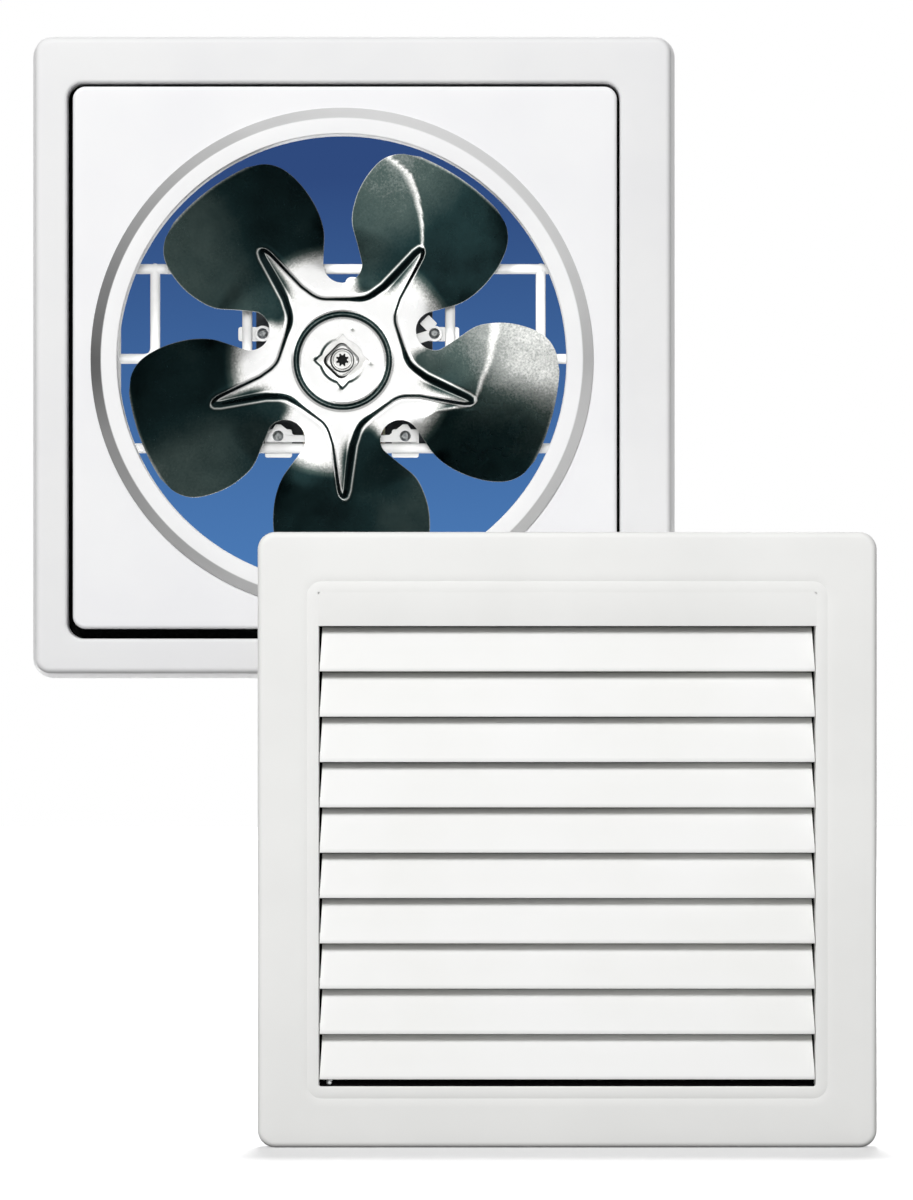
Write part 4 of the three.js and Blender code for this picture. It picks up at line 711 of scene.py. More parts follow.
def buildCard():  # blue paper over the sleeve's outlet: glows towards the room, clear from behind, no shadow
    low, high = boxOf("wall_sleeve")
    y = high[1] - card["setback"]
    x0, x1 = low[0] + card["inset"], high[0] - card["inset"]
    z0, z1 = low[2] + card["inset"], high[2] - card["inset"]
    obj = meshObject("bluePaper", [(x0, y, z0), (x1, y, z0), (x1, y, z1), (x0, y, z1)], [(0, 1, 2, 3)])
    if obj.data.polygons[0].normal.y > 0:
        obj.data.flip_normals()
    made = bpy.data.materials.new("bluePaper")
    made.use_nodes = True
    tree = made.node_tree
    place = addNode(tree, "ShaderNodeTexCoord").outputs["Object"]
    height = addNode(tree, "ShaderNodeSeparateXYZ", None, {"Vector": place}).outputs["Z"]
    share = addNode(tree, "ShaderNodeMapRange", None, {"Value": height, "From Min": z0 * mm, "From Max": z1 * mm})
    stops = list(zip((0.1, 0.9), card["tones"]))
    tone = addNode(tree, "ShaderNodeValToRGB", {"stops": stops}, {"Fac": share.outputs[0]})
    glow = addNode(tree, "ShaderNodeEmission", None, {"Color": tone.outputs["Color"], "Strength": 1.0})
    clear = addNode(tree, "ShaderNodeBsdfTransparent")
    side = addNode(tree, "ShaderNodeNewGeometry").outputs["Backfacing"]
    rays = addNode(tree, "ShaderNodeLightPath").outputs
    lighting = addNode(tree, "ShaderNodeMath", {"operation": "MAXIMUM"},
                       {0: rays["Is Glossy Ray"], 1: rays["Is Diffuse Ray"]})
    hidden = addNode(tree, "ShaderNodeMath", {"operation": "MAXIMUM"}, {0: side, 1: lighting.outputs[0]})
    both = addNode(tree, "ShaderNodeMixShader", None, {0: hidden.outputs[0], 1: glow.outputs[0], 2: clear.outputs[0]})
    tree.links.new(both.outputs[0], tree.nodes["Material Output"].inputs["Surface"])
    obj.data.materials.append(made)
    obj.visible_shadow = False


deepPieces = bpy.data.collections.new("deepPieces")
louvrePieces = bpy.data.collections.new("louvrePieces")
floorOnly = bpy.data.collections.new("floorOnly")
buildCamera()
buildWorld()
buildLamps()
buildFloor()
buildCard()
print("stage made")


# casing: outer frame, sleeve and orifice panel

frameSizes = {"corner": 7, "edgeRound": 3, "draft": 2.9, "wall": 2.4, "openingRound": 1.8,
              "openingSize": (261.2, 262.6), "openingCentre": (0.7, -0.8), "openingCorner": 7.5,
              "ledgeY": -6, "ledge": 2.4, "sleeveInside": (240, 240), "sleeveCorner": 4,
              "ribs": 3, "rib": 1.8, "ribSetback": 1, "pad": 16, "padThickness": 4}


def outerFrame():
    s = frameSizes
    width, height, corner, centre = faceOf("outer_frame", s["corner"])
    frontY, wall = boxOf("outer_frame")[0][1], s["wall"]
    outer = (width - 2 * s["draft"], height - 2 * s["draft"], corner, centre)
    opening = (*s["openingSize"], s["openingCorner"], s["openingCentre"])
    passage = (*s["sleeveInside"], s["sleeveCorner"], (0, 0))
    skin = filleted([
        (s["draft"], 0, 0), (0.1, frontY, s["edgeRound"]), (-8, frontY, 0),
    ], 8)
    lip = filleted([
        (6, frontY, 0), (0, frontY, s["openingRound"]), (0, s["ledgeY"], 0.4), (-8, s["ledgeY"], 0),
    ], 6)
    ledgeRear = s["ledgeY"] + s["ledge"]
    loops = rectangleRings(outer, skin)
    loops += rectangleRings(opening, lip[:-1])
    loops += rectangleRings(passage, [(0, s["ledgeY"]), (0, ledgeRear)])
    loops += rectangleRings(opening, [(wall, ledgeRear), (wall, frontY + wall)])
    loops += rectangleRings(outer, [(-wall, frontY + wall), (s["draft"] - wall, 0)])
    return loft("outerFrame", loops), outer, opening, frontY


def ribsTree():  # a bar of its own size at each point
    tree, given = nodeGroup("barsAtPoints", [("Material", "NodeSocketMaterial", None)])
    size = addNode(tree, "GeometryNodeInputNamedAttribute", {"data_type": "FLOAT_VECTOR"}, {"Name": "size"})
    bar = addNode(tree, "GeometryNodeMeshCube", None, {"Size": (1, 1, 1)})
    bars = addNode(tree, "GeometryNodeInstanceOnPoints", None, {
        "Points": given["Geometry"], "Instance": bar.outputs[0], "Scale": size.outputs["Attribute"],
    })
    return finishGroup(tree, bars.outputs[0], given["Material"])


def frameRibs(outer, opening, frontY):  # stiffening ribs across the hollow border, and corner pads
    s = frameSizes
    (width, height, _, centre), (openWidth, openHeight, _, openCentre) = outer, opening
    y0, y1 = frontY + s["wall"], -s["ribSetback"]
    inner = s["wall"]
    xs = [centre[0] - width / 2 + 1, openCentre[0] - openWidth / 2 - inner,
          openCentre[0] + openWidth / 2 + inner, centre[0] + width / 2 - 1]
    zs = [centre[1] - height / 2 + 1, openCentre[1] - openHeight / 2 - inner,
          openCentre[1] + openHeight / 2 + inner, centre[1] + height / 2 - 1]
    points, sizes = [], []
    for i in range(1, s["ribs"] + 1):
        share = i / (s["ribs"] + 1) - 0.5
        for a, b in (xs[:2], xs[2:]):
            points.append(((a + b) / 2, (y0 + y1) / 2, centre[1] + share * height))
            sizes.append((b - a, y1 - y0, s["rib"]))
        for a, b in (zs[:2], zs[2:]):
            points.append((centre[0] + share * width, (y0 + y1) / 2, (a + b) / 2))
            sizes.append((s["rib"], y1 - y0, b - a))
    for x in (xs[0] + s["pad"] / 2, xs[3] - s["pad"] / 2):
        for z in (zs[0] + s["pad"] / 2, zs[3] - s["pad"] / 2):
            points.append((x, -s["padThickness"] / 2, z))
            sizes.append((s["pad"], s["padThickness"], s["pad"]))
    base = {"points": points, "vectors": {"size": np.array(sizes) * mm}}
    return runNodes("frameRibs", ribsTree(), base, {"Material": materials["casing"]})


shell, outerRect, openingRect, frameFrontY = outerFrame()
settle(shell, "fan_unit", "casing", ["outer_frame"])
settle(frameRibs(outerRect, openingRect, frameFrontY), "fan_unit", "casing", ["outer_frame"])

panelCorner = 6
gapShadeSizes = {"frontY": -13, "clear": 0.3, "sunk": 0.05, "bulge": 0.6, "shoulder": 0.35}


def gapSeal():  # painted shade: a black strip deep in the gap round the panel, from wall to wall
    s, ledge = gapShadeSizes, frameSizes["ledgeY"] - 0.1
    sunk, shoulder = s["sunk"], s["shoulder"]
    panel = faceOf("orifice_panel", panelCorner)
    near, bulge = s["clear"], s["frontY"] - s["bulge"]
    loops = rectangleRings(openingRect, [(-sunk, ledge), (-sunk, s["frontY"]), (-sunk - shoulder, bulge)])
    loops += rectangleRings(panel, [(near + shoulder, bulge), (near, s["frontY"]), (near, ledge)])
    return loft("gapSeal", loops)


settle(gapSeal(), "fan_unit", "paintedShade", ["outer_frame"])

sleeveSizes = {"size": (244, 244), "corner": 6, "wall": 2, "flange": 6, "flangeThickness": 1.8}


def wallSleeve():
    s = sleeveSizes
    (_, y0, _), (_, y1, _) = boxOf("wall_sleeve")
    section = filleted([
        (-s["wall"], y0, 0.6), (s["flange"], y0, 0.5), (s["flange"], y0 + s["flangeThickness"], 0.5),
        (0, y0 + s["flangeThickness"], 1.5), (0, y1, 0.7), (-s["wall"], y1, 0.7), (-s["wall"], y0 + 1, 0),
    ], 4)
    section[0] = (-s["wall"], y0)
    return loft("wallSleeve", rectangleRings((*s["size"], s["corner"], (0, 0)), section))


settle(wallSleeve(), "fan_unit", "casing", ["wall_sleeve"])

panelSizes = {"corner": panelCorner, "edgeRound": 2, "wall": 2.2, "frontY": -27.2, "gap": 0.3, "hole": 113.6,
              "ring": 118.8, "ringHeight": 3.6, "ringEdge": 0.5, "throat": 106.2,
              "throatWall": 1.9, "flange": 1.8, "flangeReach": 3, "steps": 39}


def roundLoop(radius, y, steps):  # as many points, from the same start, as a rectangle's loop
    turn = np.concatenate([(quarter + np.arange(steps + 1) / steps) * math.pi / 2 for quarter in range(4)])
    return np.column_stack([radius * np.cos(turn), np.full(len(turn), y), radius * np.sin(turn)])


def orificePanel():
    s = panelSizes
    outer = faceOf("orifice_panel", s["corner"])
    rear, front, wall = boxOf("orifice_panel")[1][1], s["frontY"], s["wall"]
    skirt = filleted([(0, rear, 0), (0, front, s["edgeRound"]), (-7, front, 0)], 8)
    hole = filleted([(4, front, 0), (0, front, 0.3), (0, front + wall, 0.3), (4, front + wall, 0)], 3)
    loops = rectangleRings(outer, skirt, s["steps"])
    loops += [roundLoop(s["hole"] + by, y, s["steps"]) for by, y in hole]
    loops += rectangleRings(outer, [(-wall, front + wall), (-wall, rear)], s["steps"])
    return loft("orificePanel", loops)


def throatRing():  # sloped band, flat lip with a crisp inner edge, short bore, flange behind the skin
    s = panelSizes
    rear = boxOf("throat_ring")[1][1]
    crest, skin = s["frontY"] - s["ringHeight"], s["frontY"] - s["gap"]
    bore, neck = s["throat"] + s["throatWall"], s["hole"] - s["gap"]
    flange = s["frontY"] + s["wall"] + s["gap"]
    reach = s["hole"] + s["flangeReach"]
    section = filleted([
        (s["ring"], skin, 0), (s["ring"], skin - s["ringEdge"], 0.2), (s["hole"], crest, 0.5),
        (s["throat"], crest, 0.7), (s["throat"], rear, 0.5), (bore, rear, 0.5),
        (bore, flange + s["flange"], 1.5), (reach, flange + s["flange"], 0.4), (reach, flange, 0.4),
        (neck, flange, 0.2), (neck, skin, 0.2), (s["ring"], skin, 0),
    ], 5)
    return revolved("throatRing", section[:-1], 160, True)


settle(orificePanel(), "fan_unit", "panel", ["orifice_panel"])
settle(throatRing(), "fan_unit", "throat", ["throat_ring"])
print("casing made")


# impeller pressed from one sheet: five leaf blades, embossed star, hub groove

impellerSizes = {
    "blades": 5, "tip": 103, "sheet": 1.2, "pitch": 20, "camber": 2.2, "planeY": -8, "bore": 3.4,
    "notchCentre": 46.4, "notch": 9.4, "starHeight": 1.6, "starStep": 2.3, "starTip": 64.6,
    "groove": (20.8, 23.5), "grooveDepth": 1.4,
    "dimples": ((13.2, 175), (13.6, -7), (13.4, -95), (15.5, 72)), "dimpleWidth": 1.1, "dimpleDepth": 0.45,
    "starRound": 12, "twistFrom": -3, "twistTo": 28, "trough": 0.22, "troughAt": 1.9, "troughWidth": 0.7,
    "columns": 66, "creaseHeight": 0.22,
}
creaseLines = {  # where handling folded two of the blades
    "up": ((64, 0), (75, 5.5), (87, 11.8), (94, 16), (98, 22)),  # radius and angle, on the upper right blade
    "upWidth": ((64, 0.9), (75, 2.2), (87, 5), (95, 7.5)),
    "across": ((0, 65.5), (10, 66.7), (18, 69.8), (25, 71.8), (30, 74.3)),  # angle and radius, on the right blade
    "acrossWidth": ((0, 0.8), (10, 1.8), (18, 3.2), (30, 5.6)),
    "back": ((47, -17.8), (51, -9.6), (58, -4.5), (65.8, -0.4)),  # radius and angle, on the same blade
}
sheetPaintedLight = {  # painted reflection, sheen, shade and highlights on the sheet; a pair runs from where a change starts to where it is done, in mm
    "turn": (2.5, -3.5), "notchAngle": (19, 33), "notchReach": (44, 38),  # the side where the painted white reflection runs out far
    "farWeb": (60, 44), "nearWeb": (39, 27), "farArm": (68, 60), "nearArm": (48, 32), "white": 1.12,
    "lift": (-6, 24), "outward": (55, 95), "darkReflection": 0.1, "lifted": 0.26, "byBlade": (0.45, 1.75, 1.0, 0.75, 0.75),
    "rightBlade": 0.12, "dimple": 0.6, "dimpleSpread": 1.2, "rim": 0.62,
    "washer": (10, 2.6, 15), "washerShadow": 1.1, "washerGap": 0.6, "washerWidth": 0.7, "washerLeast": 0.12,
    "lineRange": 0.38, "lineSides": (-2, 2), "lineEven": (36, 20),
}
starArm = [(31.2, 8.3), (34.8, 6.5), (40.2, 4.7), (52.9, 2.9), (61.5, 1.7), (63.9, 0.9)]
leadingLeaf = [(0.53, 28.3), (0.63, 31.9), (0.73, 31.4), (0.83, 29), (0.93, 25), (0.98, 20.5), (1, 15)]
trailingLeaf = [(0.53, 26.4), (0.61, 27.6), (0.71, 26.4), (0.83, 23), (0.93, 18.8), (0.98, 14.6), (1, 9.5)]


def leafEdge(leaf):  # (radius, half angle) along a blade's edge: the round notch, then the leaf
    s = impellerSizes
    sector, c, n = 180 / s["blades"], s["notchCentre"], s["notch"]
    radii = np.linspace(c - n, c, 24)
    cosine = np.clip((radii ** 2 + c * c - n * n) / (2 * radii * c), -1, 1)
    notch = sector - np.degrees(np.arccos(cosine))
    notch[0] = sector
    points = [(c, notch[-1])] + [(share * s["tip"], angle) for share, angle in leaf]
    curve = splinePoints(points, 16)
    return np.concatenate([radii, curve[1:, 0]]), np.concatenate([notch, curve[1:, 1]])


def splinePoints(points, steps):  # Catmull-Rom through the points
    points = np.asarray(points, float)
    padded = np.vstack([2 * points[0] - points[1], points, 2 * points[-1] - points[-2]])
    rows = []
    for a, b, c, d in zip(padded, padded[1:], padded[2:], padded[3:]):
        for t in np.arange(steps) / steps:
            rows.append(0.5 * (2 * b + (c - a) * t + (2 * a - 5 * b + 4 * c - d) * t ** 2
                               + (3 * b - a - 3 * c + d) * t ** 3))
    rows.append(points[-1])
    return np.array(rows)


def starOutline():  # star with long concave arms and soft inner corners, as x, z points
    s, points = impellerSizes, []
    for blade in range(s["blades"]):
        middle = math.radians(-90 + blade * 360 / s["blades"])
        for side in (-1, 1):
            for radius, half in (starArm if side < 0 else starArm[::-1]):
                along = math.sqrt(radius ** 2 - half ** 2)
                points.append((along * math.cos(middle) - side * half * math.sin(middle),
                               along * math.sin(middle) + side * half * math.cos(middle),
                               s["starRound"] if radius == starArm[0][0] else 0))
            if side < 0:
                points.append((s["starTip"] * math.cos(middle), s["starTip"] * math.sin(middle)))
    return np.array(closedFillet(points, 0))


def signedDistance(outline, x, z):  # to a closed outline, negative inside
    nearest = np.full(x.shape, 1e9)
    inside = np.zeros(x.shape, bool)
    for (ax, az), (bx, bz) in zip(outline, np.roll(outline, -1, axis=0)):
        ex, ez = bx - ax, bz - az
        t = np.clip(((x - ax) * ex + (z - az) * ez) / (ex * ex + ez * ez), 0, 1)
        nearest = np.minimum(nearest, np.hypot(x - ax - t * ex, z - az - t * ez))
        crosses = ((az > z) != (bz > z)) & (x < ex * (z - az) / (ez if ez else 1e-9) + ax)
        inside ^= crosses
    return np.where(inside, -nearest, nearest)


def impellerHeight(radius, angle, blade, x, z, distance):  # how far the front face stands forward
    s = impellerSizes
    step = s["starStep"]
    raised = s["starHeight"] * smoothStep(step / 2, -step / 2, distance)
    raised -= s["trough"] * np.exp(-((distance - s["troughAt"]) / s["troughWidth"]) ** 2)  # round the star
    inner, outer = s["groove"]
    middle, half = (inner + outer) / 2, (outer - inner) / 2 + 1.1
    raised -= s["grooveDepth"] * np.clip(1 - np.abs(radius - middle) / half, 0, 0.85)
    for dimple in s["dimples"]:
        dimpleX, dimpleZ = polar(*dimple)
        raised -= s["dimpleDepth"] * np.exp(-((x - dimpleX) ** 2 + (z - dimpleZ) ** 2) / s["dimpleWidth"] ** 2)
    root = s["notchCentre"] - s["notch"]
    blend = smoothStep(root + s["twistFrom"], root + s["twistTo"], radius)
    across = radius * np.sin(np.radians(angle))
    wide = radius * math.sin(math.radians(30))
    twist = math.tan(math.radians(s["pitch"])) * across
    bow = s["camber"] * (1 - (across / wide) ** 2)
    return raised + blend * (twist + bow) + s["creaseHeight"] * creases(radius, angle, blade)


def creases(radius, angle, blade):  # the folds that handling left in two of the blades, 0 to 1
    along = lambda line, value: np.interp(value, *np.transpose(creaseLines[line]))
    fold = lambda off, wide: np.exp(-(off / wide) ** 2)
    if blade == 2:
        off = np.radians(angle - along("up", radius)) * radius
        return fold(off, np.where(off > 0, along("upWidth", radius), 0.7)) * smoothStep(62, 67, radius)
    if blade == 1:
        across = fold(radius - along("across", angle), along("acrossWidth", angle)) * smoothStep(-1.5, 1, angle)
        off = np.radians(angle - along("back", radius)) * radius
        back = fold(off, 1.1) * smoothStep(46, 49, radius) * smoothStep(67, 64, radius)
        return np.maximum(across, back)
    return np.zeros(radius.shape)


def impellerTone(radius, angle, blade, x, z, distance):  # painted reflection and shade: 0 dark, 1 white
    t = sheetPaintedLight
    across = radius * np.sin(np.radians(angle))
    far = smoothStep(*t["turn"], across)  # the side that turns away, where the painted white reflection runs out to the notch
    far = np.maximum(far, smoothStep(*t["notchAngle"], angle) * smoothStep(*t["notchReach"], radius))
    inside = smoothStep(1, -1, distance)
    web = far * smoothStep(*t["farWeb"], radius) + (1 - far) * smoothStep(*t["nearWeb"], radius)
    arm = far * smoothStep(*t["farArm"], radius) + (1 - far) * smoothStep(*t["nearArm"], radius)
    white = inside * arm + (1 - inside) * web
    # painted sheen on one side of each blade, stronger outwards, with its own strength on each blade and more on the
    # right one
    lift = smoothStep(*t["lift"], across) * (0.5 + 0.5 * smoothStep(*t["outward"], radius))
    tone = t["darkReflection"] + t["lifted"] * lift * t["byBlade"][blade]
    tone += t["rightBlade"] * (blade == 1) * smoothStep(-34, 0, across) * smoothStep(45, 70, radius)
    tone = np.maximum(tone, t["white"] * white)
    # painted shade in the dimples
    for dimple in impellerSizes["dimples"]:
        dimpleX, dimpleZ = polar(*dimple)
        tone = tone - t["dimple"] * np.exp(-((x - dimpleX) ** 2 + (z - dimpleZ) ** 2) / t["dimpleSpread"])
    # painted shadow line round the lock washer, gone at its upper right
    base, point, half = t["washer"]
    around = np.abs((np.degrees(np.arctan2(z, x)) + 45) % 90 - 45)
    edge = base + point * np.clip(1 - around / half, 0, 1) + t["washerGap"]
    washerShadeSide = t["washerLeast"] + (1 - t["washerLeast"]) * smoothStep(0.75, -0.45, (0.8 * x + 0.6 * z) / radius)
    tone = tone - t["washerShadow"] * washerShadeSide * np.exp(-((radius - edge) / t["washerWidth"]) ** 2)
    # painted highlight along the creases
    return np.maximum(tone, 0.8 * creases(radius, angle, blade))


def impeller():
    s, t = impellerSizes, sheetPaintedLight
    lead, trail = leafEdge(leadingLeaf), leafEdge(trailingLeaf)
    root = s["notchCentre"] - s["notch"]
    radii = np.concatenate([
        [s["bore"]], np.arange(8, 36.8, 0.5), root + np.linspace(0, 1, 8) ** 2 * 3.0,
        np.arange(root + 3.7, 67, 0.75), np.linspace(68, 97, 26), [98.4, 99.8, 100.8, 101.6, s["tip"]],
    ])
    shares = np.linspace(-1, 1, s["columns"] + 1)
    shares = np.sign(shares) * np.abs(shares) ** 1.25
    shares[[1, -2]] = -0.986, 0.986  # a narrow last column, for a painted highlight along the sheet's edge
    outline = starOutline()
    points, faces, tones, edges, count = [], [], [], [], 0
    size = len(shares)
    for blade in range(s["blades"]):
        front = np.interp(radii, *lead, left=180 / s["blades"])
        rear = np.interp(radii, *trail, left=180 / s["blades"])
        angle = np.where(shares < 0, shares * rear[:, None], shares * front[:, None])
        radius = np.repeat(radii[:, None], size, axis=1)
        around = np.radians(-90 + blade * 360 / s["blades"] + angle)
        x, z = radius * np.cos(around), radius * np.sin(around)
        distance = signedDistance(outline, x, z)
        y = s["planeY"] - impellerHeight(radius, angle, blade, x, z, distance)
        tone = impellerTone(radius, angle, blade, x, z, distance)
        # the painted shade of the die line is broad on the arms' dark side and fine on their white side
        side = 2 * smoothStep(*t["lineSides"], radius * np.sin(np.radians(angle))) - 1
        lineWidth = 1 - t["lineRange"] * side * smoothStep(*t["lineEven"], np.abs(angle))
        # painted highlight along the blades' edges and tips
        rim = ((np.abs(shares)[None, :] == 1) & (radius > root)) | (radius == s["tip"])
        tone = np.where(rim, np.maximum(tone, t["rim"]), tone)
        for offset in (0, s["sheet"]):
            points.append(np.column_stack([x.ravel(), (y + offset).ravel(), z.ravel()]))
            tones.append(tone.ravel())
            edges.append((distance * lineWidth).ravel())
        start, back = count, count + x.size
        count += 2 * x.size
        rows = len(radii)
        at = lambda i, j, base: base + i * size + j
        for i in range(rows - 1):
            for j in range(size - 1):
                faces.append((at(i, j, start), at(i + 1, j, start), at(i + 1, j + 1, start), at(i, j + 1, start)))
                faces.append((at(i, j + 1, back), at(i + 1, j + 1, back), at(i + 1, j, back), at(i, j, back)))
            if radii[i] >= root - 1e-6:
                for j, flip in ((0, False), (size - 1, True)):
                    edge = (at(i, j, start), at(i, j, back), at(i + 1, j, back), at(i + 1, j, start))
                    faces.append(edge[::-1] if flip else edge)
        for i in (0, rows - 1):
            for j in range(size - 1):
                faces.append((at(i, j, start), at(i, j, back), at(i, j + 1, back), at(i, j + 1, start)))
    mesh = bpy.data.meshes.new("impeller")
    mesh.from_pydata((np.concatenate(points) * mm).tolist(), [], faces)
    for label, rows in (("tone", tones), ("starEdge", edges)):
        layer = mesh.attributes.new(label, "FLOAT", "POINT")
        layer.data.foreach_set("value", np.concatenate(rows).astype(np.float32))
    cleanMesh(mesh, 50)
    return linked("impeller", mesh)


settle(impeller(), "impeller_set", "pressed", ["impeller"])
print("impeller made")


# louvred outlet

louvreSizes = {"corner": 8, "edgeRound": 2.8, "rim": 10, "wall": 2.4, "opening": (227.4, 225.9),
               "openingCorner": 1.2, "skirtWall": 2.6, "strip": 15.1, "stripThickness": 1.4,
               "witness": 5.4, "witnessDepth": 0.12}


def louvreFrame():
    s = louvreSizes
    outer = faceOf("louvre_frame", s["corner"])
    centre, wall = outer[3], s["wall"]
    (_, front, _), (_, rear, _) = boxOf("louvre_frame")
    opening = (*s["opening"], s["openingCorner"], centre)
    skin = filleted([(0, front + s["rim"], 0), (0, front, s["edgeRound"]), (-9, front, 0)], 8)
    w, d = s["witness"], s["witnessDepth"]
    lip = filleted([
        (w + 4, front, 0), (w + 0.35, front, 0), (w, front + d, 0), (w - 0.35, front, 0), (0, front, 0.5),
        (0, rear, 0.5), (s["skirtWall"], rear, 0.5), (s["skirtWall"], front + wall, 0),
    ], 4)
    loops = rectangleRings(outer, skin) + rectangleRings(opening, lip)
    loops += rectangleRings(outer, [(-wall, front + wall), (-wall, front + s["rim"])])
    shell = loft("louvreShell", loops)
    halfWidth, top = s["opening"][0] / 2 + 0.4, centre[1] + s["opening"][1] / 2
    z0, z1 = top - s["strip"], top + 0.4
    section = filleted([
        (front, z1, 0), (front, z0, 0.35),
        (front + s["stripThickness"], z0, 0.35), (front + s["stripThickness"], z1, 0),
    ], 4)
    strip = barAlongX("louvreStrip", section, centre[0] - halfWidth, centre[0] + halfWidth)
    return joinMeshes("louvreFrame", [shell, strip])


def barAlongX(name, section, x0, x1):  # a closed (y, z) section drawn out along X
    count = len(section)
    points = [(x, y, z) for x in (x0, x1) for y, z in section]
    faces = [(i, (i + 1) % count, count + (i + 1) % count, count + i) for i in range(count)]
    faces += [tuple(range(count)), tuple(range(count, 2 * count))]
    return meshObject(name, points, faces)


settle(louvreFrame(), "louvre_unit", "louvreCasing", ["louvre_frame"])


louvreShadeSizes = {"setback": 15, "depth": 7, "reach": 3.6, "round": 0.8, "bed": 0.6, "bedSetback": 2.9,
                "sunk": 0.05}


def draughtStrip():  # painted shade: black strips behind the slats' ends and on the lower wall, for the dark in the gaps round them
    s = louvreShadeSizes
    centreX, centreZ = faceOf("louvre_frame", 0)[3]
    front = boxOf("louvre_frame")[0][1]
    width, height = louvreSizes["opening"]
    y0, y1 = front + s["setback"], front + s["setback"] + s["depth"]
    sunk = s["sunk"]
    section = filleted([(sunk, y0, 0), (-s["reach"], y0, s["round"]), (-s["reach"], y1, s["round"]), (sunk, y1, 0)], 4)
    opening = (width, height, louvreSizes["openingCorner"], (centreX, centreZ))
    ring = loft("draughtRing", rectangleRings(opening, section))
    floor, start = centreZ - height / 2, front + s["bedSetback"]
    bed = filleted([(start, floor - sunk, 0), (start, floor + s["bed"], 0.3), (y0 + 1, floor + s["bed"], 0),
                    (y0 + 1, floor - sunk, 0)], 4)
    return joinMeshes("draughtStrip", [ring, barAlongX("draughtBed", bed, centreX - width / 2, centreX + width / 2)])


settle(draughtStrip(), "louvre_unit", "paintedShade", ["louvre_frame"])

slatSizes = {"count": 10, "pitch": 20.75, "overlap": 3, "setback": 9.5, "barrel": 1.9, "gap": 0.3,
             "lipDepth": 2.6, "lipHeight": 1.6, "pin": 1.5, "pinReach": 2.4, "taper": 1.5, "endThinner": 0.09,
             "crankX": 101, "crank": 2, "crankReach": 10, "crankHalf": 2.6, "crankPin": 1.4, "crankPinLength": 3.8}


def slatBody():  # one slat in its hinge's own frame
    s = slatSizes
    fall, setback = s["pitch"] + s["overlap"], s["setback"]
    reach = setback - s["lipDepth"]
    barrel = [(s["barrel"] * math.cos(a), s["barrel"] * math.sin(a))
              for a in np.radians(np.linspace(-70, 200, 14))]
    blade = filleted([
        (*barrel[-1], 0), (-setback, -fall + s["lipHeight"], 2.5), (-setback, -fall, 0.35),
        (-reach, -fall, 0.35), (-reach, -fall + s["lipHeight"], 0.8), (*barrel[0], 0),
    ], 4)
    section = barrel + blade[1:-1]
    length = louvreSizes["opening"][0] / 2 - s["gap"]
    stations = [-length, -length + 0.4, -length + 3, length - 3, length - 0.4, length]
    count, points, faces = len(section), [], []
    for x in stations:
        thinner = s["endThinner"] if abs(x) == length else 0
        for y, z in section:
            rise = min(1, max(0, 1 + z / fall))
            middle = setback * z / fall * 0.8  # of the sheet, front to back
            points.append((x - math.copysign(s["taper"] * rise, x), y + (middle - y) * thinner, z))
    for i in range(len(stations) - 1):
        for j in range(count):
            a, b = i * count, (i + 1) * count
            faces.append((a + j, a + (j + 1) % count, b + (j + 1) % count, b + j))
    last = (len(stations) - 1) * count
    faces += [tuple(range(count)), tuple(range(last, last + count))]
    sheet = meshObject("slatSheet", points, faces)
    drop = sheet.data.attributes.new("drop", "FLOAT", "POINT")  # mm below the pins, on the front face only
    front = [y < setback * z / fall for y, z in section] * len(stations)
    drop.data.foreach_set("value", [-point[2] if seen else fall for point, seen in zip(points, front)])
    pins = []
    for side in (-1, 1):
        route = [(side * (length - s["taper"] - 1), 0, 0), (side * (length + s["pinReach"]), 0, 0)]
        pins.append(wires("slatPin", [route], s["pin"], 4))
    crank = filleted([
        (0, -s["crankHalf"] / 2, 0), (s["crankReach"], -s["crankHalf"], 1.2),
        (s["crankReach"] + s["crankHalf"], 0, 1.2), (s["crankReach"], s["crankHalf"], 1.2), (0, s["barrel"], 0),
    ], 4)
    arm = barAlongX("slatCrank", crank, s["crankX"], s["crankX"] + s["crank"])
    pinEnd = s["crankX"] - s["crankPinLength"]
    pins.append(wires("crankPin", [[(s["crankX"] + 0.4, s["crankReach"], 0), (pinEnd, s["crankReach"], 0)]],
                      s["crankPin"], 4))
    return joinMeshes("slatBody", [sheet, arm, *pins])


def slatTree():  # the slat of one number, set down its row
    tree, given = nodeGroup("slatInRow", [
        ("Piece", "NodeSocketObject", None),
        ("Number", "NodeSocketInt", 0),
        ("Pitch", "NodeSocketFloat", 0.02),
        ("Material", "NodeSocketMaterial", None),
    ])
    piece = addNode(tree, "GeometryNodeObjectInfo", None, {"Object": given["Piece"]})
    drop = addNode(tree, "ShaderNodeMath", {"operation": "MULTIPLY"}, {0: given["Number"], 1: given["Pitch"]})
    down = addNode(tree, "ShaderNodeMath", {"operation": "MULTIPLY"}, {0: drop.outputs[0], 1: -1.0})
    offset = addNode(tree, "ShaderNodeCombineXYZ", None, {"Z": down.outputs[0]})
    copies = addNode(tree, "GeometryNodeInstanceOnPoints", None, {
        "Points": given["Geometry"], "Instance": piece.outputs["Geometry"],
    })
    shifted = addNode(tree, "GeometryNodeTranslateInstances", None, {
        "Instances": copies.outputs[0], "Translation": offset.outputs[0],
    })
    return finishGroup(tree, shifted.outputs[0], given["Material"])


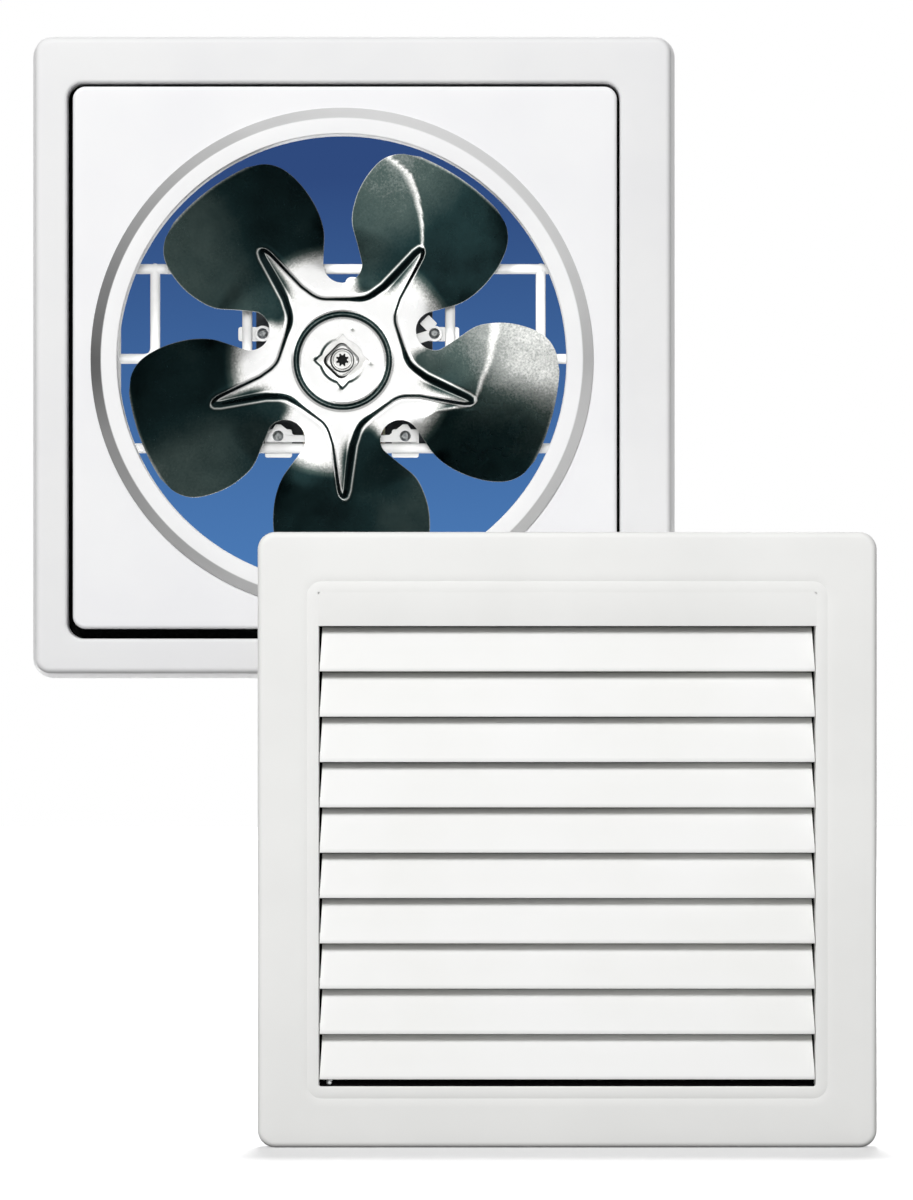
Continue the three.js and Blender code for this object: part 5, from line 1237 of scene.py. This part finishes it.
def slats():
    s = slatSizes
    centreX, centreZ = faceOf("louvre_frame", 0)[3]
    topZ = centreZ + louvreSizes["opening"][1] / 2 - louvreSizes["strip"] + s["overlap"]
    hinge = (centreX, boxOf("louvre_frame")[0][1] + s["setback"], topZ)
    body, tree = slatBody(), slatTree()
    for i in range(s["count"]):
        name = f"slat_{i + 1:02d}"
        made = runNodes("louvreSlat" + name[-2:], tree, {"points": [hinge]}, {
            "Piece": body, "Number": i, "Pitch": s["pitch"] * mm, "Material": materials["slat"],
        })
        settle(made, name, "slat", [name])
    bpy.data.objects.remove(body)


slats()
print("louvre made")


# cradle, motor carrier, their clamps, clips and screws

cradleSizes = {"wire": 2.4, "y": 20, "top": 45, "bottom": -41, "leg": 117.3, "side": 109.3, "loop": 1.9,
               "loops": (-90.5, 94.5), "posts": (-46.3, 51), "legEnd": 52, "bend": 6,
               "clipY": 38, "clipSheet": 1.4, "clipWidth": 9, "clipFoot": 9, "clipHole": 1.8,
               "screwOffset": 9.3}


def wireCradle():  # drawn wire bent round its corners and spot welded where the wires meet
    s = cradleSizes
    y, leg, end = s["y"], s["leg"], s["legEnd"]
    routes = [bentRoute([(-leg, end, z), (-leg, y, z), (leg, y, z), (leg, end, z)], s["bend"])
              for z in (s["top"], s["bottom"])]
    routes += [[(x, y, s["bottom"]), (x, y, s["top"])] for x in (-s["side"], s["side"], *s["posts"])]
    for side, x in zip((-1, 1), s["loops"]):
        routes.append(bentRoute([(side * s["side"], y, s["loop"]), (x, y, s["loop"]), (x, y, s["top"])], s["bend"]))
    cradle = wires("wireCradle", routes, s["wire"], 7)
    welds = []
    for x in (-s["side"], s["side"], *s["posts"], *s["loops"]):
        for z in ((s["top"],) if x in s["loops"] else (s["top"], s["bottom"])):
            bead = bmesh.new()
            bmesh.ops.create_icosphere(bead, subdivisions=3, radius=1.12 * s["wire"] * mm)
            mesh = bpy.data.meshes.new("weld")
            bead.to_mesh(mesh)
            bead.free()
            reach = 1.35 if x in (-s["side"], s["side"]) else 1
            welds.append(shifted(moved(linked("weld", mesh), Matrix.Diagonal((reach, 0.98, 1, 1))), x, y, z))
    return joinMeshes("wireCradle", [cradle, *welds])


def legClip():  # saddle round a leg that lies along Y at the origin, its foot on a wall at +X
    s = cradleSizes
    inner, wall = s["wire"] + 0.3, s["wire"]
    outer = inner + s["clipSheet"]
    arch = lambda radius, turns: [(-radius * math.cos(a), radius * math.sin(a)) for a in np.radians(turns)]
    outline = [(wall, -inner), (wall, -outer), *arch(outer, np.linspace(-90, 90, 25)),
               (wall - s["clipSheet"], outer), (wall - s["clipSheet"], outer + s["clipFoot"]),
               (wall, outer + s["clipFoot"]), (wall, inner), *arch(inner, np.linspace(90, -90, 25))]
    half = s["clipWidth"] / 2
    saddle = plate("legClip", [outline], [], -half, half)
    hole = moved(rod("hole", s["clipHole"], -4, 4), Matrix.Rotation(math.pi / 2, 4, "Z"))
    return cut(saddle, shifted(hole, wall, 0, s["screwOffset"]))


def machineScrew(name, head, height, shank, length):  # pan head towards -Y with a cross slot, threaded shank to +Y
    profile = filleted([(0, -height, 0), (head * 0.62, -height, head * 0.5), (head, -height * 0.45, 0.3),
                        (head, 0, 0.1), (shank, 0, 0)], 5)
    pitch = 0.8
    for i in range(int((length - 1) / pitch)):
        y = i * pitch + 0.5
        profile += [(shank * 0.84, y), (shank, y + pitch * 0.5)]
    profile += [(shank * 0.8, length - 0.4), (shank * 0.5, length), (0, length)]
    body = revolved(name, profile, 32)
    arm, wide = head * 0.55, 0.32
    cross = [roundedBox(-a, a, -b, b, 0.1) for a, b in ((arm, wide), (wide, arm))]
    return cut(body, plate("slot", cross, [], -height - 0.5, -height + 0.75, 0.02))


carrierSizes = {"front": 15.8, "rear": 17.3, "disc": 29, "web": 12, "footLow": -38.1, "footHigh": -34.7,
                "lower": ((-31.4, -35.2, -1), (29.5, -35.2, 1)), "upper": ((-38.8, 13.9), (43.5, 13.9)),
                "peak": (2.4, -29.6), "reach": (5.6, 9.8), "arm": 2.4, "armEnd": 3.8, "lug": (40.7, 18.7, 4.2),
                "tongue": (0.8, 7.8, 41), "boss": 10.2, "bolts": 24, "hole": 1.8,
                "clampY": (22.7, 24.2), "clampHalf": 3.4, "clampOverlap": 4.4, "clampLength": 6.5}


def motorCarrier():
    s = carrierSizes
    outlines = [
        circle(0, 0, s["disc"], 96),
        roundedBox(-s["web"], s["web"], s["footLow"], 0, 0.1),
        roundedBox(s["lower"][0][0], s["lower"][1][0], s["footLow"], s["footHigh"], 0.1),
        roundedBox(*s["tongue"][:2], 0, s["tongue"][2], 3),
    ]
    for x, _, side in s["lower"]:
        peak, top = s["peak"]
        low, shoulder = s["footLow"], (s["footLow"] + s["footHigh"]) / 2
        outer, inner = x + side * s["reach"][0], x - side * s["reach"][1]
        corners = [(outer, low), (outer, shoulder), (x + side * peak / 2, top), (x - side * peak / 2, top),
                   (inner, shoulder), (inner, low)]
        outlines.append(closedFillet(corners, 0.5))
    for x, z in s["upper"]:
        length = math.hypot(x, z)
        ux, uz, half = x / length, z / length, s["arm"]
        corners = [(ux * t - uz * w, uz * t + ux * w)
                   for t, w in ((5, -half), (length, -half), (length, half), (5, half))]
        outlines += [closedFillet(corners, 0.3), circle(x, z, s["armEnd"], 40)]
    x, z, half = s["lug"]
    outlines.append(closedFillet([(x + half, z), (x, z + half), (x - half, z), (x, z - half)], 0.5))
    holes = [circle(x, z, s["hole"], 24) for x, z, *_ in (*s["lower"], *s["upper"])]
    holes += [circle(x, 0, 2, 24) for x in (-s["bolts"], s["bolts"])] + [circle(0, 0, s["boss"], 64)]
    return plate("motorCarrier", outlines, holes, s["front"], s["rear"])


def wireClamps():
    s, c = carrierSizes, cradleSizes
    made = []
    half, over, along = s["clampHalf"], s["clampOverlap"], s["clampLength"]
    spans = [(x - along, x + along, c["bottom"] - over, z + half, x, z) for x, z, _ in s["lower"]]
    for (x, z), post, side in zip(s["upper"], c["posts"], (-1, 1)):
        ends = sorted((x - side * half, post + side * over))
        spans.append((*ends, z - half, z + half, x, z))
    for x0, x1, z0, z1, x, z in spans:
        made.append(plate("wireClamp", [roundedBox(x0, x1, z0, z1, 1.2)], [circle(x, z, s["hole"], 24)],
                          *s["clampY"]))
    return joinMeshes("wireClamps", made)


copiesGroup = copiesTree()
screwSizes = {"clip": (3, 1.8, 1.5, 6.5), "carrier": (2.6, 1.6, 1.5, 11.2)}  # head, its height, shank, length
corners4 = ("upper_left", "lower_left", "upper_right", "lower_right")
ears4 = ("lower_left", "lower_right", "upper_right", "upper_left")
legPlaces = [(side * cradleSizes["leg"], cradleSizes["clipY"], z) for side in (-1, 1)
             for z in (cradleSizes["top"], cradleSizes["bottom"])]
legTurns = [(0, 0, math.pi), (0, math.pi, 0), (0, 0, 0), (math.pi, 0, 0)]
screwSeat = 119.7 - cradleSizes["clipSheet"] - 0.3
screwPlaces = [(math.copysign(screwSeat, x), y, z + math.copysign(cradleSizes["screwOffset"], z))
               for x, y, z in legPlaces]
screwTurns = [(0, 0, math.copysign(math.pi / 2, -x)) for x, _, _ in legPlaces]
earPlaces = [(x, carrierSizes["front"] - 0.3, z) for x, z, *_ in (*carrierSizes["lower"], *carrierSizes["upper"])]

deep = [
    settle(wireCradle(), "fan_unit", "wire", ["wire_cradle"]),
    settle(motorCarrier(), "fan_unit", "sheet", ["motor_carrier"]),
    settle(wireClamps(), "fan_unit", "sheet", [f"wire_clamp_{e}" for e in ears4]),
]
for name, part, look, slot, nodes, places, turns in (
    ("legClips", legClip(), "sheet", "white_steel", [f"cradle_clip_{c}" for c in corners4], legPlaces, legTurns),
    ("clipScrews", machineScrew("clipScrew", *screwSizes["clip"]), "zinc", "zinc_fasteners",
     [f"clip_screw_{c}" for c in corners4], screwPlaces, screwTurns),
    ("carrierScrews", machineScrew("carrierScrew", *screwSizes["carrier"]), "zinc", "zinc_fasteners",
     [f"carrier_screw_{e}" for e in ears4], earPlaces, None),
):
    deep.append(settle(copiesAt(name, copiesGroup, part, look, places, turns), "fan_unit", look, nodes))
for obj in deep:
    deepPieces.objects.link(obj)
print("cradle and carrier made")


# hub: lock washer, rounded nut, screw with a splined socket

hubSizes = {"washer": (10, 12.6, 16), "washerY": (-10.9, -9.9), "bore": 3.2, "nut": 12.8, "nutCorner": 3.5,
            "nutY": (-16.2, -11.2), "head": 4.4, "headY": (-18.7, -16.5), "shank": 1.6, "shankEnd": -6.5,
            "socket": (2.2, 3.1), "splines": 8, "socketDepth": 1.7, "socketShadowY": (1.3, 1.69),
            "faceStep": 0.35, "ring": (5.3, 5, 4.6), "shadowLeft": -7.2, "shadowRight": 6.5, "shadowLow": -7.5, "shadowHigh": 6.6,
            "stepOil": (5.75, 5.2)}


def hubWasher():
    round_, point, half = hubSizes["washer"]
    turns = np.arange(0, 360, 3)
    near = np.abs((turns + 45) % 90 - 45)
    reach = round_ + (point - round_) * np.clip(1 - near / half, 0, 1) ** 1.3
    outline = [(r * math.cos(a), r * math.sin(a)) for r, a in zip(reach, np.radians(turns))]
    return plate("hubWasher", [outline], [circle(0, 0, hubSizes["bore"])], *hubSizes["washerY"], 0.2)


def hubNut():
    s = hubSizes
    rear, front = s["nutY"][1], s["nutY"][0]
    square = (s["nut"], s["nut"], s["nutCorner"], (0, 0))
    steps = 10
    face, (foot, crest, inner) = front + s["faceStep"], s["ring"]
    loops = rectangleRings(square, filleted([
        (-0.6, rear, 0), (0, rear, 0.3), (0, front + 1.1, 0.5), (-0.9, face, 0.3), (-1.8, face, 0),
    ], 3), steps)
    ring = filleted([(foot, face, 0), (crest, front, 0.15), (inner, front, 0.15), (s["bore"], front + 0.5, 0),
                     (s["bore"], rear, 0)], 3)
    loops += [roundLoop(radius, y, steps) for radius, y in ring]
    return moved(loft("hubNut", loops), Matrix.Rotation(math.pi / 4, 4, "Y"))


def hubScrew():
    s = hubSizes
    front, rear = s["headY"]
    profile = filleted([(0, front, 0), (s["head"], front, 0.5), (s["head"], rear, 0.2), (s["shank"], rear, 0)], 5)
    profile += [(s["shank"] * (0.82 if i % 2 else 1), rear + 0.5 + 0.4 * i) for i in range(23)]
    profile += [(s["shank"] * 0.6, s["shankEnd"]), (0, s["shankEnd"])]
    body = revolved("hubScrew", profile, 48)
    teeth = 2 * s["splines"]
    outline = [polar(s["socket"][i % 2], (i + flank) * 360 / teeth) for i in range(teeth) for flank in (-0.28, 0.28)]
    return cut(body, plate("socket", [outline], [], front - 0.5, front + s["socketDepth"], 0.02))


def hubOil():  # painted shadow between nut and washer, seen most at the lower left, and in the step of the nut's face
    s = hubSizes
    under, face = roundedBox(-6, 6, -6, 6, 3), s["nutY"][0] + s["faceStep"]
    foot = plate("nutOil", [roundedBox(s["shadowLeft"], s["shadowRight"], s["shadowLow"], s["shadowHigh"], 3.4)], [under],
                 s["nutY"][1], s["washerY"][0] + 0.05, 0.02)
    outer, inner = s["stepOil"]
    step = plate("stepOil", [circle(-0.12, -0.15, outer, 48)], [circle(0, 0, inner, 48)], face - 0.04, face + 0.06,
                 0.01)
    return joinMeshes("hubOil", [moved(foot, Matrix.Rotation(math.pi / 4, 4, "Y")), step])


settle(hubWasher(), "impeller_set", "nickel", ["hub_washer"])
settle(hubOil(), "impeller_set", "paintedShadow", ["hub_nut"])
settle(hubNut(), "impeller_set", "nickel", ["hub_nut"])
settle(hubScrew(), "impeller_set", "nickel", ["hub_screw"])
# painted shade down in the screw's socket
paintedShadow = rod("socketGrease", hubSizes["socket"][1] - 0.05, *[hubSizes["headY"][0] + y for y in hubSizes["socketShadowY"]])
settle(paintedShadow, "impeller_set", "paintedShadow", ["hub_screw"])
print("hub made")


# motor: laminated core, wound coil, cast brackets, bearings, bolts and shaft

motorSizes = {"y": (35, 55), "x": 42.5, "z": (-39, 30), "corner": 4, "window": (20, -27.5, -19.4), "bore": 16.55,
              "rivets": ((-36, 22), (36, 22), (-36, -31), (36, -31)), "leg": (20, 11.5, 45, -33.25),
              "bobbin": (19.7, 18.5, 1.5, 7.8), "coil": (18.2, 1.8, 7.2), "turn": 0.95, "bolts": 24,
              "bar": (28, 8, 6, 3), "legRadius": 4.6, "boss": 10, "bearing": 6.1,
              "front": (17.6, 34.7, 15.6, 30.6), "rear": (65.8, 55.3, 67.8, 58.8),
              "shaftBore": 3.3, "boltHole": 2, "rivet": (2.6, 1.4)}


def statorCore():
    s = motorSizes
    half, low, high = s["window"]
    holes = [roundedBox(-half, half, low, high, 0.3), circle(0, 0, s["bore"], 72)]
    holes += [circle(x, 0, s["boltHole"], 20) for x in (-s["bolts"], s["bolts"])]
    core = plate("statorCore", [roundedBox(-s["x"], s["x"], *s["z"], s["corner"])], holes, *s["y"], 0.12)
    (y0, y1), (radius, tall) = s["y"], s["rivet"]
    profile = filleted([(0, y0 - tall, 0), (radius, y0 - tall, 1), (radius, y0 + 0.2, 0)], 4)
    profile += filleted([(radius, y1 - 0.2, 0), (radius, y1 + tall, 1), (0, y1 + tall, 0)], 4)
    rivets = [shifted(revolved("rivet", profile, 24), x, 0, z) for x, z in s["rivets"]]
    return joinMeshes("statorCore", [core, *rivets])


def legRings(name, profile, corner=0.6):  # a ring round the core's lower leg; profile: (x, growth) points
    width, height, y, z = motorSizes["leg"]
    loops = [rectangleLoop(width + 2 * by, height + 2 * by, corner + by * 0.4, (y, z), x, 5) for x, by in profile]
    return loft(name, [[(x, y, z) for y, x, z in loop] for loop in loops])


def coilBobbin():
    half, inner, surface, brim = motorSizes["bobbin"]
    section = filleted([(half, 0.3, 0), (half, brim, 0.4), (inner, brim, 0.4), (inner, surface, 0.3),
                        (-inner, surface, 0.3), (-inner, brim, 0.4), (-half, brim, 0.4), (-half, 0.3, 0)], 3)
    return legRings("coilBobbin", section)


def coilTurns():  # one turn of wire, set again and again along the bobbin
    s = motorSizes
    half, inner, outer = s["coil"]
    width, height, y, z = s["leg"]
    wire = s["turn"] / 2
    by = outer - wire - 0.05
    loop = rectangleLoop(width + 2 * by, height + 2 * by, 4, (y, z), 0, 5)
    steps, rows = 8, []
    around = [i * 2 * math.pi / steps for i in range(steps)]
    for py, _, pz in loop:
        out = Vector((py - y, pz - z)).normalized()
        rows.append([(wire * math.sin(a), py + out.x * wire * math.cos(a), pz + out.y * wire * math.cos(a))
                     for a in around])
    turn = loft("coilTurn", rows)
    count = int((2 * half - 0.6) / s["turn"])
    places = [((i - (count - 1) / 2) * s["turn"], 0, 0) for i in range(count)]
    wound = copiesAt("coilTurns", copiesGroup, turn, "copper", places)
    core = legRings("coilCore", [(half, inner), (half, by - 0.1), (-half, by - 0.1), (-half, inner)], 1.5)
    return joinMeshes("motorCoil", [wound, core])


def tube(name, inner, outer, y0, y1, x=0, edge=0.4):
    y0, y1 = min(y0, y1), max(y0, y1)
    section = filleted([(inner, (y0 + y1) / 2, 0), (inner, y0, edge), (outer, y0, edge), (outer, y1, edge),
                        (inner, y1, edge), (inner, (y0 + y1) / 2, 0)], 3)
    return shifted(revolved(name, section[:-1], 48, True), x, 0, 0)


def bearingBracket(name, foot, legEnd, bossStart, bossEnd):
    s = motorSizes
    half, tall, corner, thick = s["bar"]
    side = 1 if legEnd > foot else -1
    outline = roundedBox(-half, half, -tall, tall, corner)
    bolts = (-s["bolts"], s["bolts"])
    holes = [circle(0, 0, s["bearing"], 48)] + [circle(x, 0, s["boltHole"], 20) for x in bolts]
    y0, y1 = sorted((foot, foot + side * thick))
    parts = [plate(name, [outline], holes, y0, y1, 0.5), tube(name, s["bearing"], s["boss"], bossStart, bossEnd)]
    parts += [tube(name, s["boltHole"], s["legRadius"], foot + side * 0.5, legEnd, x) for x in bolts]
    for x in (-15, 15):  # ribs between boss and feet
        rib = roundedBox(x - 5.5, x + 5.5, -1, 1, 0.3)
        y2, y3 = sorted((foot + side * (thick - 0.5), foot + side * (thick + 3)))
        parts.append(plate(name, [rib], [], y2, y3, 0.3))
    return joinMeshes(name, parts)


boltSizes = {"hexagon": 3.6, "head": 2.8, "nut": 2.8, "pastNut": 2, "shank": 1.8, "root": 1.5, "thread": 8}


def motorBolt(name, x):
    s = boltSizes
    hexagon = circle(x, 0, s["hexagon"], 6)
    (_, y0, _), (_, y1, _) = boxOf(name)
    head = plate(name, [hexagon], [], y0, y0 + s["head"], 0.35)
    nut = plate(name, [hexagon], [], y1 - s["pastNut"] - s["nut"], y1 - s["pastNut"], 0.35)
    profile = [(0, y0 + 2.5), (s["shank"], y0 + 2.5), (s["shank"], y1 - s["thread"])]
    profile += [(s["shank"] if i % 2 else s["root"], y1 - s["thread"] + 0.4 * i) for i in range(18)]
    profile += [(s["root"] - 0.2, y1), (0, y1)]
    return joinMeshes(name, [head, nut, shifted(revolved(name, profile, 24), x, 0, 0)])


def motorShaft():
    (_, y0, _), (radius, y1, _) = boxOf("motor_shaft")
    bore, neck = 1.8, radius - 0.5  # the screw's hole, and the groove near the rear end
    section = filleted([(bore, y0 + 10, 0), (bore, y0, 0.2), (radius, y0, 0.5), (radius, y1 - 1.9, 0),
                        (neck, y1 - 1.9, 0), (neck, y1 - 1.2, 0), (radius, y1 - 1.2, 0), (radius, y1, 0.6),
                        (0, y1, 0)], 4)
    return revolved("motorShaft", [(0, y0 + 10)] + section, 48)


def motorRotor():
    (_, y0, _), (big, y1, _) = boxOf("motor_rotor")
    bore, ring, middle = motorSizes["shaftBore"], 14.5, 45
    section = filleted([(bore, middle, 0), (bore, y0, 0.3), (ring, y0, 0.6), (ring, y0 + 2, 0.2), (big, y0 + 2, 0.3),
                        (big, y1 - 2, 0.3), (ring, y1 - 2, 0.2), (ring, y1, 0.6), (bore, y1, 0.3),
                        (bore, middle, 0)], 3)
    return revolved("motorRotor", section[:-1], 72, True)


def hubBoss():  # flanged boss with the rivets' peened ends
    (_, y0, _), (flange, y1, _) = boxOf("hub_boss")
    bore, barrel, middle = motorSizes["shaftBore"], 8, (y0 + y1) / 2
    section = filleted([(bore, middle, 0), (bore, y0, 0.2), (flange, y0, 0.3), (flange, y0 + 1.5, 0.4),
                        (barrel, y0 + 1.5, 1.6), (barrel, y1, 0.8), (bore, y1, 0.5), (bore, middle, 0)], 5)
    parts = [revolved("hubBoss", section[:-1], 72, True)]
    dome = filleted([(0, y0 + 2.5, 0), (1.7, y0 + 2.3, 0.7), (1.7, y0 + 1.3, 0)], 4)
    for dimple in impellerSizes["dimples"]:
        x, z = polar(*dimple)
        parts.append(shifted(revolved("rivet", [(0, y0 + 1.3)] + dome[::-1], 20), x, 0, z))
    return joinMeshes("hubBoss", parts)


inletSizes = {"wall": 12, "bore": 3.6, "nose": 6.4, "thread": 7, "root": 6.5, "pitch": 0.6,
              "collar": 10, "neck": 7.6, "collarDepth": 3}


def cableInlet():
    s = inletSizes
    (x0, y0, z0), (x1, y1, z1) = boxOf("cable_inlet")
    bore, thread, collar = s["bore"], s["thread"], s["collar"]
    wall = z0 + s["wall"] + 0.3
    section = filleted([(bore, z0 + 4, 0), (bore, z0, 0.5), (s["nose"], z0, 0.5), (thread, z0 + 1, 0)], 4)
    section += [(thread if i % 2 else s["root"], z0 + 1 + s["pitch"] * i) for i in range(1, 16)]
    section += filleted([(thread, wall - 0.8, 0), (thread, wall, 0), (collar, wall, 0.3),
                         (collar, wall + s["collarDepth"], 1), (s["neck"], wall + s["collarDepth"], 0.8),
                         (thread, z1, 1.2), (bore, z1, 0.8), (bore, z0 + 5, 0)], 4)
    upright = moved(revolved("cableInlet", section, 40, True), Matrix.Rotation(math.pi / 2, 4, "X"))
    return shifted(upright, (x0 + x1) / 2, (y0 + y1) / 2, 0)


def bevelledCopy(name, width):  # a node's own solid with its edges broken
    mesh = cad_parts[name].data.copy()
    cleanMesh(mesh, 30)
    obj = linked(name + "Broken", mesh)
    modifier = obj.modifiers.new("edges", "BEVEL")
    modifier.width, modifier.segments, modifier.limit_method, modifier.angle_limit = width * mm, 2, "ANGLE", 0.7
    return evaluated(obj, obj.name, 40)


settle(statorCore(), "fan_unit", "lamination", ["stator_core"])
settle(coilBobbin(), "fan_unit", "bobbin", ["coil_bobbin"])
settle(coilTurns(), "fan_unit", "copper", ["motor_coil"])
for end in ("front", "rear"):
    settle(bearingBracket(end + "Bracket", *motorSizes[end]), "fan_unit", "cast",
           [end + "_bearing_bracket"])
    (_, y0, _), (radius, y1, _) = boxOf(end + "_bearing")
    bush = tube(end + "Bearing", motorSizes["shaftBore"], radius, y0, y1)
    settle(bush, "fan_unit", "bronze", [end + "_bearing"])
for side, x in (("left", -motorSizes["bolts"]), ("right", motorSizes["bolts"])):
    settle(motorBolt("motor_bolt_" + side, x), "fan_unit", "zinc", ["motor_bolt_" + side])
settle(motorShaft(), "impeller_set", "bright", ["motor_shaft"])
settle(motorRotor(), "impeller_set", "lamination", ["motor_rotor"])
settle(hubBoss(), "impeller_set", "cast", ["hub_boss"])
settle(cableInlet(), "fan_unit", "black", ["cable_inlet"])
for node, body, look, slot, width in (
    ("terminal_block", "fan_unit", "black", "black_plastic", 0.5),
    ("inlet_nut", "fan_unit", "black", "black_plastic", 0.5),
    ("tie_bar", "tie_bar", "tie", "slat_plastic", 0.3),
    ("slat_rest_peg", "louvre_unit", "bright", "zinc_fasteners", 0.25),
):
    settle(bevelledCopy(node, width), body, look, [node])
print("motor and fittings made")
